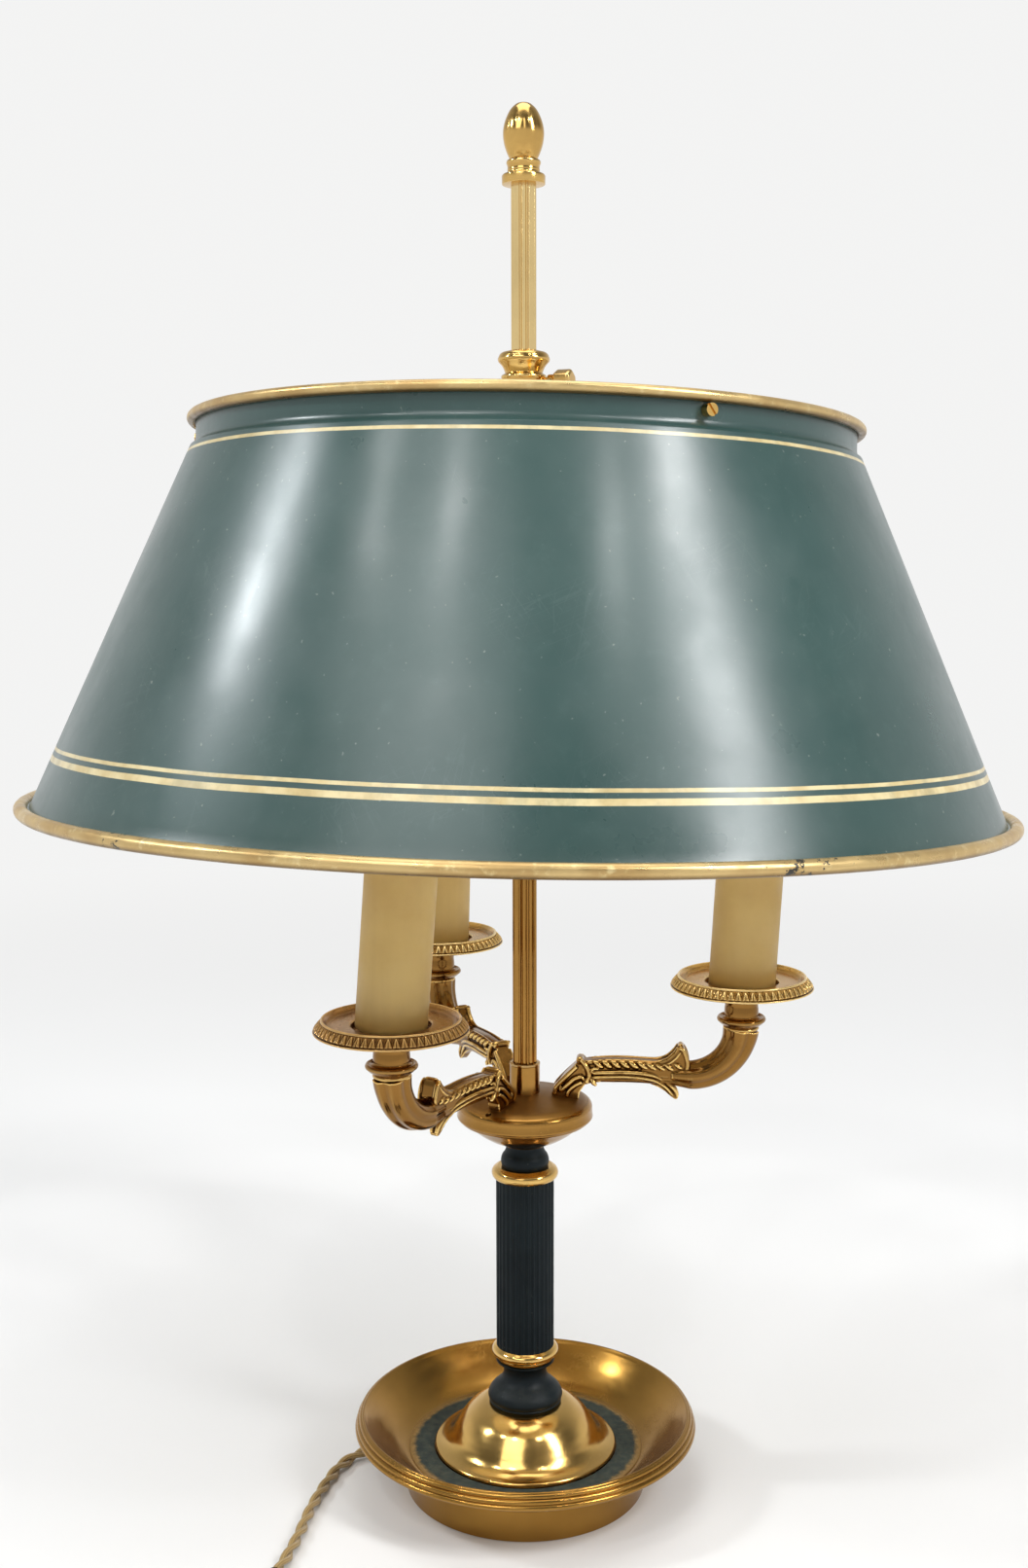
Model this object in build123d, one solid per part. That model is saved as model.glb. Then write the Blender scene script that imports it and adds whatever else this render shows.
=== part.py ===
from build123d import *
import math
import os

# Three-light bouillotte lamp. Millimetres, +Z up, origin at the centre of the foot's rest face.
# The stem, column and base are coaxial with Z. Azimuths are counted from +X towards +Y.
# Points of a turned outline are (radius, height), as offsets from the named sizes they belong to.

# ---- driving dimensions: base ------------------------------------------------------------
FOOT_R = 50.0              # outside of the foot ring
FOOT_WALL = 2.6
DISH_FLOOR = 15.5          # height of the dish floor
DISH_FLOOR_THICK = 3.0
RIM_OVERHANG = 21.3        # dish rim beyond the foot ring
RIM_RISE = 15.3            # dish rim above its floor
REED_HEIGHT = 2.05         # one of the three reeds round the rim
WELL_THICK = 0.4           # green ring on the dish floor
DOME_R = 37.9
DOME_HEIGHT = 19.7
DOME_WALL = 1.6
WEIGHT_BOTTOM = 3.0
WEIGHT_SEAT = 5.4          # top of the counterbore for washer and nut
WEIGHT_GAP = 1.0           # between the cast weight and the foot ring
FELT_THICK = 1.5
WASHER_THICK = 1.0
TIE_NUT_HEIGHT = 3.2
TIE_NUT_WIDTH = 13.0

# ---- driving dimensions: column and hub ----------------------------------------------------
COLUMN_R = 12.0
COLUMN_LENGTH = 72.0
COLUMN_FLUTES = 32
COLUMN_FOOT_HEIGHT = 18.0
LOWER_RING_HEIGHT = 6.4
UPPER_RING_HEIGHT = 5.4
SPOOL_HEIGHT = 9.2
BOWL_HEIGHT = 11.3
CAP_HEIGHT = 8.3
HUB_WALL = 2.6
HUB_MARGIN = 4.3           # hub beyond the arms' feet
SPARE_HOLE_R = 1.2
SPARE_HOLE_AT = (25.5, -125.0)   # radius and azimuth of a small blind hole in the hub cap

# ---- driving dimensions: stem ----------------------------------------------------------------
STEM_R = 5.0
STEM_WALL = 2.0
STEM_LENGTH = 362.7
STEM_FLUTES = 12
STEM_FLUTE_R = 0.78
FERRULE_WALL = 1.2
FERRULE_LENGTH = 15.0
TIE_WALL = 1.2             # wall of the threaded tube that clamps base, column and hub
LEAD_R = 2.4               # lead inside that tube
TIE_REACH = 16.0           # length of the threaded tube inside the stem
CAP_STUD = 12.0            # rod cap's spigot in the stem
CAP_RISE = 9.4
FINIAL_R = 8.05
FINIAL_HEIGHT = 21.0
FINIAL_STUD_R = 1.6
FINIAL_STUD = 8.0
TIP_R = 0.4                # blunt end of the finial and of the bulbs

# ---- driving dimensions: arms and candles ----------------------------------------------------
ARM_COUNT = 3
ARM_FIRST_DEG = -3.85
ARM_NAMES = ("right", "rear", "left")
ARM_REACH = 88.0           # stem axis to candle axis
ARM_RISE = 30.2            # hub top to the top of the elbow
ARM_WIDTH = 9.0
ELBOW_R = 6.2
ELBOW_BEND_R = 21.0
ELBOW_LIFT = 0.9           # the elbow's bend ends this far above the candle cup's seat
WIRE_HOLE_R = 2.0
WIRE_R = 1.2
ARM_SCREW_R = 2.0
ARM_SCREW_HEAD = 2.2
ARM_SCREW_BITE = 4.5       # length of thread in the arm's foot
CUP_HEIGHT = 15.8
CUP_LIP_R = 9.75
PAN_R = 28.8
PAN_HEIGHT = 6.4
PAN_TRAY = 4.4             # height of the tray's floor in the pan
PAN_FLOOR = 1.8            # thickness of the pan's floor inside the recess
PAN_RECESS = 1.3           # recess beyond the sleeve
NIPPLE_R = 4.0
NIPPLE_WALL = 1.4
NIPPLE_DEPTH = 6.0         # nipple's thread in the elbow
NIPPLE_NUT_WIDTH = 11.0
NIPPLE_NUT_HEIGHT = 3.4
STRAP_THICK = 1.5
STRAP_RISE = 20.0
STRAP_WIDTH = 8.0
SLEEVE_R = 13.5
SLEEVE_WALL = 1.1
SLEEVE_LENGTH = 85.0
LEAN_DEG = {"right": 3.2, "rear": 1.7, "left": 4.2}   # each loose candle leans towards +X
HOLDER_CLEARANCE = 1.8     # lampholder to the inside of the sleeve
HOLDER_LENGTH = 58.0
BULB_CAP_R = 6.9
BULB_CAP_LENGTH = 24.0
BULB_R = 17.5
BULB_LENGTH = 68.0

# ---- driving dimensions: shade ---------------------------------------------------------------
SHADE_BOTTOM_R = 188.2     # outside of the wall at its lower edge
SHADE_NECK_R = 127.7
SHADE_HEIGHT = 150.2       # lower lip to the end of the neck
SHADE_WALL = 0.6
NECK_LENGTH = 10.7
NECK_STEP = 2.4            # the cone's top edge beyond the neck
BOTTOM_BEAD_R = 2.6
TOP_BEAD_R = 2.0
TOP_BEAD_OUT = 1.4         # middle of the top bead beyond the neck
BEAD_ARCS = 12             # faces round a bead's section, which keep it round in a coarse mesh
SHADE_TILT_X = -2.19       # degrees: the shade sits askew on its loose spider
SHADE_TILT_Y = 1.30
SHADE_SHIFT = (1.1, 0.8)   # and off centre
SPIDER_BELOW_COLLAR = 26.0  # collar top to the middle of the spider's hub plate
SPIDER_ABOVE_NECK = 5.2    # spider plate above the end of the neck, along the shade's axis
SPIDER_THICK = 2.0
SPIDER_HUB_R = 12.0
SPIDER_BAR = 6.0
SPIDER_DROP = 6.0          # fall of the bars towards the bend
SPIDER_BEND_IN = 15.7      # bend inside the neck
EAR_THICK = 1.6
EAR_BELOW = 5.0            # ear below its screw
SCREW_BELOW_NECK_END = 4.6
SHADE_SCREW_FIRST_DEG = -62.4
SHADE_SCREW_R = 1.5
SHADE_SCREW_HEAD_R = 2.2
SHADE_SCREW_HEAD = 3.4

# ---- driving dimensions: sliding collar ------------------------------------------------------
COLLAR_ABOVE_HUB = 300.2   # hub top to collar top
COLLAR_FLARE_R = 10.1
COLLAR_BODY_R = 8.4
COLLAR_WAIST_R = 7.4
COLLAR_WALL = 0.95         # wall of its threaded lower end
SPIGOT_BELOW_SPIDER = 8.5
COLLAR_NUT_WIDTH = 20.0
COLLAR_NUT_HEIGHT = 4.5
KNOB_BELOW_TOP = 12.6
KNOB_DEG = -22.0
KNOB_R = 4.8
KNOB_LENGTH = 7.4
KNOB_NECK_R = 3.0
KNOB_SHANK_R = 2.0

# ---- driving dimensions: cord, switch and plug -----------------------------------------------
CORD_R = 2.3
CORD_EXIT_DEG = 163.0
CORD_EXIT_Z = 8.0
BUSH_WALL = 1.5
BUSH_FLANGE = 1.2
BUSH_OUT = 2.2             # bushing beyond the foot ring
COIL_CENTRE = (-45.0, -143.0)
COIL_R = 26.0              # middle of the turns
COIL_BUNDLE = 13.8         # thickness of the wound bundle
SWITCH_SIZE = (24.0, 54.0, 17.0)
SWITCH_CENTRE = (-96.5, -129.0)
SWITCH_CORD_Z = 5.2
COLLET = 3.0               # cord collar beyond the end of the switch
ROCKER_SIZE = (10.0, 16.8, 5.0)
ROCKER_WELL = 9.0
ROCKER_PIVOT_BELOW = 1.5   # rocker's axis below the top of the switch
ROCKER_TILT = 9.0
ROCKER_PIN_R = 0.8
ROCKER_PIN_OUT = 1.0       # pin beyond each side of the rocker
PLUG_SIZE = (36.0, 30.0, 13.6)
PLUG_START = (12.0, -171.0)
PIN_SPACING = 19.0
PIN_R = 2.0
PIN_LENGTH = 19.0

# ---- clearances ------------------------------------------------------------------------------
RUN_FIT = 0.05             # radial clearance of a running fit
LOOSE_FIT = 0.2            # radial clearance of a piece slipped over a tube
SIDE_GAP = 0.3             # between pieces that move past each other
SPIDER_PLAY = 0.58         # axial play that lets the shade hang askew
SPIDER_SLACK = 1.9         # radial play round the collar
CUT = 1.0                  # run-out of a cutting tool beyond a face

# ---- sizes that follow -----------------------------------------------------------------------
FOOT_INNER_R = FOOT_R - FOOT_WALL
DISH_UNDER = DISH_FLOOR - DISH_FLOOR_THICK
RIM_R = FOOT_R + RIM_OVERHANG
RIM_TOP = DISH_FLOOR + RIM_RISE
WELL_R = FOOT_R - 1.0
DOME_TOP = DISH_FLOOR + DOME_HEIGHT
COLUMN_BOTTOM = DOME_TOP + COLUMN_FOOT_HEIGHT + LOWER_RING_HEIGHT
COLUMN_TOP = COLUMN_BOTTOM + COLUMN_LENGTH
SPOOL_BOTTOM = COLUMN_TOP + UPPER_RING_HEIGHT
BOWL_BOTTOM = SPOOL_BOTTOM + SPOOL_HEIGHT
CAP_BOTTOM = BOWL_BOTTOM + BOWL_HEIGHT
HUB_TOP = CAP_BOTTOM + CAP_HEIGHT
CAP_UNDER = HUB_TOP - HUB_WALL
STEM_TOP = HUB_TOP + STEM_LENGTH

TIE_R = STEM_R - 1.0
TIE_BORE_R = TIE_R - TIE_WALL
SHAFT_HOLE_R = TIE_R + LOOSE_FIT
STEM_BORE_R = STEM_R - STEM_WALL
FERRULE_R = STEM_R + FERRULE_WALL
RING_R = COLUMN_R + 1.8
NECK_R = COLUMN_R - 3.4
BULGE_R = COLUMN_R + 3.65
SPOOL_R = COLUMN_R - 2.15
DOME_SEAT_R = BULGE_R + 1.15

ARM_FOOT_IN = FERRULE_R + 4.0
ARM_WIRE_AT = ARM_FOOT_IN + 3.3
ARM_SCREW_AT = ARM_WIRE_AT + 6.0
ARM_FOOT_OUT = ARM_SCREW_AT + 4.0
ARM_KNEE_LOW = HUB_TOP + 3.8        # first bend of the wire's channel
ARM_KNEE_OUT = ARM_FOOT_OUT + 1.5   # radius of its second bend
HUB_R = ARM_FOOT_OUT + HUB_MARGIN
ELBOW_TOP = HUB_TOP + ARM_RISE
ARM_LEVEL = ELBOW_TOP - ELBOW_BEND_R + ELBOW_LIFT
ELBOW_START = ARM_REACH - ELBOW_BEND_R
PAN_SEAT = ELBOW_TOP + CUP_HEIGHT
PAN_FLOOR_TOP = PAN_SEAT + PAN_FLOOR
HOLDER_R = SLEEVE_R - SLEEVE_WALL - HOLDER_CLEARANCE
HOLDER_BOTTOM = PAN_FLOOR_TOP + STRAP_RISE
HOLDER_TOP = HOLDER_BOTTOM + HOLDER_LENGTH
SLEEVE_TOP = PAN_FLOOR_TOP + SLEEVE_LENGTH
STRAP_AT = HOLDER_R - STRAP_THICK / 2 - SIDE_GAP

COLLAR_TOP = HUB_TOP + COLLAR_ABOVE_HUB
SPIDER_Z = COLLAR_TOP - SPIDER_BELOW_COLLAR
SPIDER_ABOVE_LIP = SHADE_HEIGHT + SPIDER_ABOVE_NECK
SPIGOT_R = STEM_R + RUN_FIT + COLLAR_WALL
SHADE_INNER_R = SHADE_NECK_R - SHADE_WALL
SHADE_SCREW_AT = SHADE_HEIGHT - SCREW_BELOW_NECK_END
BOTTOM_BEAD_AT = SHADE_BOTTOM_R + 0.9 + BOTTOM_BEAD_R
TOP_BEAD_AT = SHADE_NECK_R + TOP_BEAD_OUT
KNOB_Z = COLLAR_TOP - KNOB_BELOW_TOP
BUSH_R = CORD_R + BUSH_WALL
FINIAL_SEAT = STEM_TOP + CAP_RISE

os.makedirs("parts", exist_ok=True)
parts = {}


# ---- shapes used throughout ------------------------------------------------------------------
def flat(point):
    return Vector(point[0], 0, point[1])


def outline(start, *steps):
    """Closed outline in the XZ plane. A step is a line's end, or an arc's middle and end."""
    edges = []
    here = start
    for step in steps:
        if isinstance(step[0], tuple):
            middle, end = step
            edges.append(ThreePointArc(flat(here), flat(middle), flat(end)))
            here = end
        else:
            edges.append(Line(flat(here), flat(step)))
            here = step
    edges.append(Line(flat(here), flat(start)))
    return make_face(Wire(edges))


def turned(start, *steps):
    return revolve(outline(start, *steps), Axis.Z, 360)


def tube(radius, bore, bottom, top):
    return turned((bore, bottom), (radius, bottom), (radius, top), (bore, top))


def rod(radius, bottom, top):
    return Pos(0, 0, bottom) * extrude(Circle(radius), top - bottom)


def bar(start, end, radius):
    """Round bar between two points."""
    way = Vector(*end) - Vector(*start)
    return Plane(origin=start, z_dir=way) * extrude(Circle(radius), way.length)


def around(shape, degrees):
    return Rot(0, 0, degrees) * shape


def ring_of(shape, count, first_deg):
    return [around(shape, first_deg + 360 / count * i) for i in range(count)]


def hexagon(width, bottom, height, bore):
    body = extrude(RegularPolygon(width / 2, 6, major_radius=False), height)
    return Pos(0, 0, bottom) * body - rod(bore, bottom - CUT, bottom + height + CUT)


def polar(radius, degrees, z=0.0):
    turn = math.radians(degrees)
    return Vector(radius * math.cos(turn), radius * math.sin(turn), z)


def between(inner, outer, share):
    return inner + (outer - inner) * share


# ---- base ------------------------------------------------------------------------------------
def base_dish():
    """Turned brass dish with a reeded rim, on a foot ring."""
    reeds_bottom = RIM_TOP - 3 * REED_HEIGHT
    dish = turned(
        (SHAFT_HOLE_R, DISH_UNDER),
        (FOOT_INNER_R, DISH_UNDER),
        (FOOT_INNER_R, 0.0),
        (FOOT_R, 0.0),
        (FOOT_R, DISH_UNDER + 1.5),
        ((between(FOOT_R, RIM_R, 0.35), DISH_UNDER + 4.0), (RIM_R - 4.3, reeds_bottom - 0.2)),
        (RIM_R - 0.7, reeds_bottom),
        ((RIM_R, reeds_bottom + 0.5 * REED_HEIGHT), (RIM_R - 0.7, reeds_bottom + REED_HEIGHT)),
        ((RIM_R - 0.5, reeds_bottom + 1.5 * REED_HEIGHT), (RIM_R - 1.5, RIM_TOP - REED_HEIGHT)),
        ((RIM_R - 1.6, RIM_TOP - 0.4 * REED_HEIGHT), (RIM_R - 2.7, RIM_TOP)),
        (RIM_R - 3.9, RIM_TOP - 0.6),
        ((between(WELL_R, RIM_R, 0.45), DISH_FLOOR + 6.0), (WELL_R + 0.5, DISH_FLOOR)),
        (SHAFT_HOLE_R, DISH_FLOOR),
    )
    exit_hole = bar((FOOT_INNER_R - CUT, 0, CORD_EXIT_Z), (FOOT_R + CUT, 0, CORD_EXIT_Z), BUSH_R)
    return dish - around(exit_hole, CORD_EXIT_DEG)


def base_dome():
    """Spun brass ogee dome, on which the column stands."""
    w = DOME_WALL

    def flank(share, height):
        return between(DOME_SEAT_R, DOME_R, share), height

    return turned(
        (DOME_R - w, DISH_FLOOR),
        (DOME_R, DISH_FLOOR),
        (DOME_R, DISH_FLOOR + 1.9),
        (flank(0.70, DISH_FLOOR + 4.4), flank(0.56, DISH_FLOOR + 8.4)),
        (flank(0.40, DOME_TOP - 5.2), (DOME_SEAT_R, DOME_TOP)),
        (SHAFT_HOLE_R, DOME_TOP),
        (SHAFT_HOLE_R, DOME_TOP - w),
        (DOME_SEAT_R - 0.6, DOME_TOP - w),
        (flank(0.33, DOME_TOP - 6.4), flank(0.48, DISH_FLOOR + 8.2)),
        (flank(0.64, DISH_FLOOR + 3.2), (DOME_R - w, DISH_FLOOR + 0.9)),
    )


def cord_slot():
    """Space for the cord from the centre to the foot ring, along the exit's azimuth."""
    slot = Pos(FOOT_R / 2, 0, 0) * Box(FOOT_R, 2 * BUSH_R + CUT, 4 * DISH_FLOOR)
    return around(slot, CORD_EXIT_DEG)


def base_weight():
    """Cast-iron disc inside the foot ring, slotted for the cord."""
    radius = FOOT_INNER_R - WEIGHT_GAP
    disc = turned(
        (SHAFT_HOLE_R, WEIGHT_SEAT),
        (TIE_NUT_WIDTH, WEIGHT_SEAT),
        (TIE_NUT_WIDTH, WEIGHT_BOTTOM),
        (radius, WEIGHT_BOTTOM),
        (radius, DISH_UNDER),
        (SHAFT_HOLE_R, DISH_UNDER),
    )
    return disc - cord_slot()


def base_felt():
    radius = FOOT_INNER_R - WEIGHT_GAP
    return tube(radius, TIE_NUT_WIDTH, WEIGHT_BOTTOM - FELT_THICK, WEIGHT_BOTTOM) - cord_slot()


def tie_tube():
    """Threaded tube from under the weight into the foot of the stem, with a window for the lead."""
    bottom = WEIGHT_SEAT - WASHER_THICK - TIE_NUT_HEIGHT - 0.4
    pipe = tube(TIE_R, TIE_BORE_R, bottom, HUB_TOP + TIE_REACH)
    window = Pos(TIE_R, 0, CORD_EXIT_Z) * Box(2 * TIE_R, 2 * TIE_BORE_R, 2.5 * TIE_BORE_R)
    return pipe - around(window, CORD_EXIT_DEG)


def swept_wire(corners, radii, radius):
    path = FilletPolyline(*corners, radius=radii)
    section = Plane(origin=corners[0], z_dir=corners[1] - corners[0]) * Circle(radius)
    return sweep(section, path=path)


def base_lead():
    """Lead from the bushing through the tie tube up to the hub."""
    inner_end = polar(FOOT_INNER_R - 3.0, CORD_EXIT_DEG, CORD_EXIT_Z)
    corners = [inner_end, Vector(0, 0, CORD_EXIT_Z), Vector(0, 0, CAP_UNDER)]
    return swept_wire(corners, [0.5 * LEAD_R + TIE_BORE_R], LEAD_R)


def arm_wire():
    """Wire from the hub through an arm to its lampholder, along +X."""
    corners = [
        Vector(ARM_WIRE_AT, 0, CAP_UNDER - 3.0),
        Vector(ARM_WIRE_AT, 0, ARM_KNEE_LOW),
        Vector(ARM_KNEE_OUT, 0, ARM_LEVEL),
        Vector(ARM_REACH, 0, ARM_LEVEL),
        Vector(ARM_REACH, 0, HOLDER_BOTTOM - 1.4),
    ]
    return swept_wire(corners, [2 * WIRE_HOLE_R, 2 * WIRE_HOLE_R, ELBOW_BEND_R], WIRE_R)


parts["base_dish"] = base_dish()
parts["base_dome"] = base_dome()
parts["well_ring"] = tube(WELL_R, DOME_R + LOOSE_FIT, DISH_FLOOR, DISH_FLOOR + WELL_THICK)
parts["base_weight"] = base_weight()
parts["base_felt"] = base_felt()
parts["base_washer"] = tube(TIE_NUT_WIDTH - 2.5, SHAFT_HOLE_R, WEIGHT_SEAT - WASHER_THICK, WEIGHT_SEAT)
NUT_BOTTOM = WEIGHT_SEAT - WASHER_THICK - TIE_NUT_HEIGHT
parts["base_nut"] = hexagon(TIE_NUT_WIDTH, NUT_BOTTOM, TIE_NUT_HEIGHT, TIE_R)
parts["tie_tube"] = tie_tube()
parts["inner_wires"] = Compound([base_lead()] + ring_of(arm_wire(), ARM_COUNT, ARM_FIRST_DEG))


# ---- column ----------------------------------------------------------------------------------
def column_foot():
    """Green turned foot: a flattened bun under a narrow neck."""
    top = DOME_TOP + COLUMN_FOOT_HEIGHT
    return turned(
        (SHAFT_HOLE_R, DOME_TOP),
        (BULGE_R - 1.0, DOME_TOP),
        ((BULGE_R, DOME_TOP + 2.6), (BULGE_R - 1.3, DOME_TOP + 6.0)),
        ((BULGE_R - 3.3, DOME_TOP + 7.8), (NECK_R + 0.9, DOME_TOP + 9.0)),
        ((NECK_R, top - 6.6), (NECK_R + 0.2, top - 4.2)),
        ((NECK_R + 1.3, top - 1.8), (NECK_R + 3.2, top)),
        (SHAFT_HOLE_R, top),
    )


def column_ring(bottom, height, waist):
    """Brass ring with a rounded edge; waist is its radius where it meets the column."""
    return turned(
        (SHAFT_HOLE_R, bottom),
        (waist, bottom),
        ((RING_R, bottom + height / 2), (waist, bottom + height)),
        (SHAFT_HOLE_R, bottom + height),
    )


def column():
    """Fluted green column."""
    pitch = 2 * math.pi * COLUMN_R / COLUMN_FLUTES
    flutes = PolarLocations(COLUMN_R + 0.22 * pitch, COLUMN_FLUTES) * Circle(0.42 * pitch)
    section = Circle(COLUMN_R) - flutes - Circle(SHAFT_HOLE_R)
    return Pos(0, 0, COLUMN_BOTTOM) * extrude(section, COLUMN_LENGTH)


def spool():
    """Green neck between the upper ring and the hub."""
    return turned(
        (SHAFT_HOLE_R, SPOOL_BOTTOM),
        (SPOOL_R - 0.3, SPOOL_BOTTOM),
        ((SPOOL_R, SPOOL_BOTTOM + 2.4), (SPOOL_R - 0.7, SPOOL_BOTTOM + 5.2)),
        ((SPOOL_R - 1.9, BOWL_BOTTOM - 2.2), (SPOOL_R - 2.2, BOWL_BOTTOM)),
        (SHAFT_HOLE_R, BOWL_BOTTOM),
    )


parts["column_foot"] = column_foot()
parts["lower_ring"] = column_ring(DOME_TOP + COLUMN_FOOT_HEIGHT, LOWER_RING_HEIGHT, COLUMN_R + 0.3)
parts["column"] = column()
parts["upper_ring"] = column_ring(COLUMN_TOP, UPPER_RING_HEIGHT, COLUMN_R - 0.2)
parts["spool"] = spool()


# ---- hub -------------------------------------------------------------------------------------
def hub_bowl():
    """Lower half of the hub, hollow for the wire joints."""
    edge = HUB_R - 1.0
    return turned(
        (SHAFT_HOLE_R, BOWL_BOTTOM),
        (SPOOL_R - 0.6, BOWL_BOTTOM),
        ((between(SPOOL_R, edge, 0.53), BOWL_BOTTOM + 4.4), (edge, CAP_BOTTOM)),
        (edge - HUB_WALL, CAP_BOTTOM),
        ((between(SPOOL_R, edge, 0.45), BOWL_BOTTOM + 6.8), (SPOOL_R + 2.0, BOWL_BOTTOM + HUB_WALL)),
        (SHAFT_HOLE_R, BOWL_BOTTOM + HUB_WALL),
    )


def hub_cap():
    """Upper half of the hub: rounded band, a step, and a flat top for the arms."""
    step = ARM_FOOT_OUT + 0.5
    cap = turned(
        (SHAFT_HOLE_R, CAP_UNDER),
        (HUB_R - HUB_WALL, CAP_UNDER),
        (HUB_R - HUB_WALL, CAP_BOTTOM),
        (HUB_R, CAP_BOTTOM),
        (HUB_R, HUB_TOP - 3.6),
        ((HUB_R - 0.7, HUB_TOP - 2.2), (HUB_R - 2.2, HUB_TOP - 1.5)),
        (step + 0.2, HUB_TOP - 1.3),
        (step, HUB_TOP - 0.6),
        (step - 0.6, HUB_TOP),
        (SHAFT_HOLE_R, HUB_TOP),
    )
    drill = Pos(ARM_WIRE_AT, 0, 0) * rod(WIRE_HOLE_R, CAP_UNDER - CUT, HUB_TOP + CUT)
    drill += Pos(ARM_SCREW_AT, 0, 0) * rod(ARM_SCREW_R + LOOSE_FIT, CAP_UNDER - CUT, HUB_TOP + CUT)
    for copy in ring_of(drill, ARM_COUNT, ARM_FIRST_DEG):
        cap -= copy
    spare = polar(*SPARE_HOLE_AT)
    return cap - Pos(spare.X, spare.Y, 0) * rod(SPARE_HOLE_R, CAP_UNDER + CUT, HUB_TOP + CUT)


def arm_screws():
    """Slotted screws from inside the hub up into the arms' feet."""
    under = CAP_UNDER - ARM_SCREW_HEAD
    screw = rod(ARM_SCREW_R, CAP_UNDER, HUB_TOP + ARM_SCREW_BITE) + rod(ARM_SCREW_R + 1.6, under, CAP_UNDER)
    slot = Pos(0, 0, under) * Box(4 * ARM_SCREW_R, 0.9, 1.8)
    return Compound(ring_of(Pos(ARM_SCREW_AT, 0, 0) * (screw - slot), ARM_COUNT, ARM_FIRST_DEG))


def terminal_block():
    """Two-way block under the hub cap, where the lead meets the arms' wires."""
    long, wide, high = (9.0, 8.0, 5.0)
    middle = Pos(-(SHAFT_HOLE_R + 1.0 + long / 2), 0, CAP_UNDER - high / 2)
    block = middle * Box(long, wide, high)
    for side in (-1, 1):
        block -= middle * Pos(0, side * wide / 4, -high / 2) * extrude(Circle(1.1), high - 1.0)
    return block


parts["hub_bowl"] = hub_bowl()
parts["hub_cap"] = hub_cap()
parts["arm_screws"] = arm_screws()
parts["terminal_block"] = terminal_block()


# ---- stem ------------------------------------------------------------------------------------
def stem():
    """Fluted brass tube that carries the shade; its foot screws onto the tie tube."""
    flutes = PolarLocations(STEM_R + 0.3, STEM_FLUTES) * Circle(STEM_FLUTE_R)
    body = extrude(Circle(STEM_R) - flutes - Circle(STEM_BORE_R), STEM_LENGTH)
    return Pos(0, 0, HUB_TOP) * body - rod(TIE_R, HUB_TOP - CUT, HUB_TOP + TIE_REACH)


def ferrule():
    """Plain collar round the foot of the stem."""
    top = HUB_TOP + FERRULE_LENGTH
    return turned(
        (STEM_R, HUB_TOP),
        (FERRULE_R, HUB_TOP),
        (FERRULE_R, top - 0.6),
        (FERRULE_R - 0.6, top),
        (STEM_R, top),
    )


def rod_cap():
    """Flanged cap on the stem's end, drilled for the finial."""
    bore = FINIAL_STUD_R + RUN_FIT
    seat = FINIAL_SEAT - SIDE_GAP
    return turned(
        (bore, STEM_TOP - CAP_STUD),
        (STEM_BORE_R, STEM_TOP - CAP_STUD),
        (STEM_BORE_R, STEM_TOP),
        (STEM_R + 3.0, STEM_TOP),
        ((STEM_R + 3.4, STEM_TOP + 1.4), (STEM_R + 2.7, STEM_TOP + 3.0)),
        (STEM_R + 1.4, STEM_TOP + 3.4),
        ((STEM_R + 1.0, STEM_TOP + 5.0), (STEM_R + 1.3, STEM_TOP + 6.6)),
        ((STEM_R + 1.5, seat - 1.5), (STEM_R + 0.9, seat - 0.5)),
        (STEM_R + 0.1, seat),
        (bore, seat),
    )


def finial():
    """Acorn finial that screws into the cap."""
    top = FINIAL_SEAT + FINIAL_HEIGHT
    widest = FINIAL_SEAT + 0.41 * FINIAL_HEIGHT
    return turned(
        (0, FINIAL_SEAT - FINIAL_STUD),
        (FINIAL_STUD_R, FINIAL_SEAT - FINIAL_STUD),
        (FINIAL_STUD_R, FINIAL_SEAT),
        (FINIAL_R - 3.1, FINIAL_SEAT),
        (FINIAL_R - 3.0, FINIAL_SEAT + 1.2),
        ((FINIAL_R - 0.5, between(FINIAL_SEAT, widest, 0.53)), (FINIAL_R, widest)),
        ((FINIAL_R - 1.9, between(widest, top, 0.57)), (TIP_R, top)),
        (0, top),
    )


parts["ferrule"] = ferrule()
parts["stem"] = stem()
parts["rod_cap"] = rod_cap()
parts["finial"] = finial()


# ---- arms ------------------------------------------------------------------------------------
def elbow(radius):
    """Round elbow from the arm's level stretch up to the candle cup."""
    section = Plane(origin=(ELBOW_START, 0, ARM_LEVEL), z_dir=(1, 0, 0)) * Circle(radius)
    bend = revolve(section, Axis((ELBOW_START, 0, ARM_LEVEL + ELBOW_BEND_R), (0, -1, 0)), 90)
    level = bar((ELBOW_START - ELBOW_BEND_R / 2, 0, ARM_LEVEL), (ELBOW_START, 0, ARM_LEVEL), radius)
    above = Pos(0, 0, ELBOW_TOP + ARM_REACH) * Box(4 * ARM_REACH, 4 * ARM_REACH, 2 * ARM_REACH)
    return bend + level - above


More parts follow.
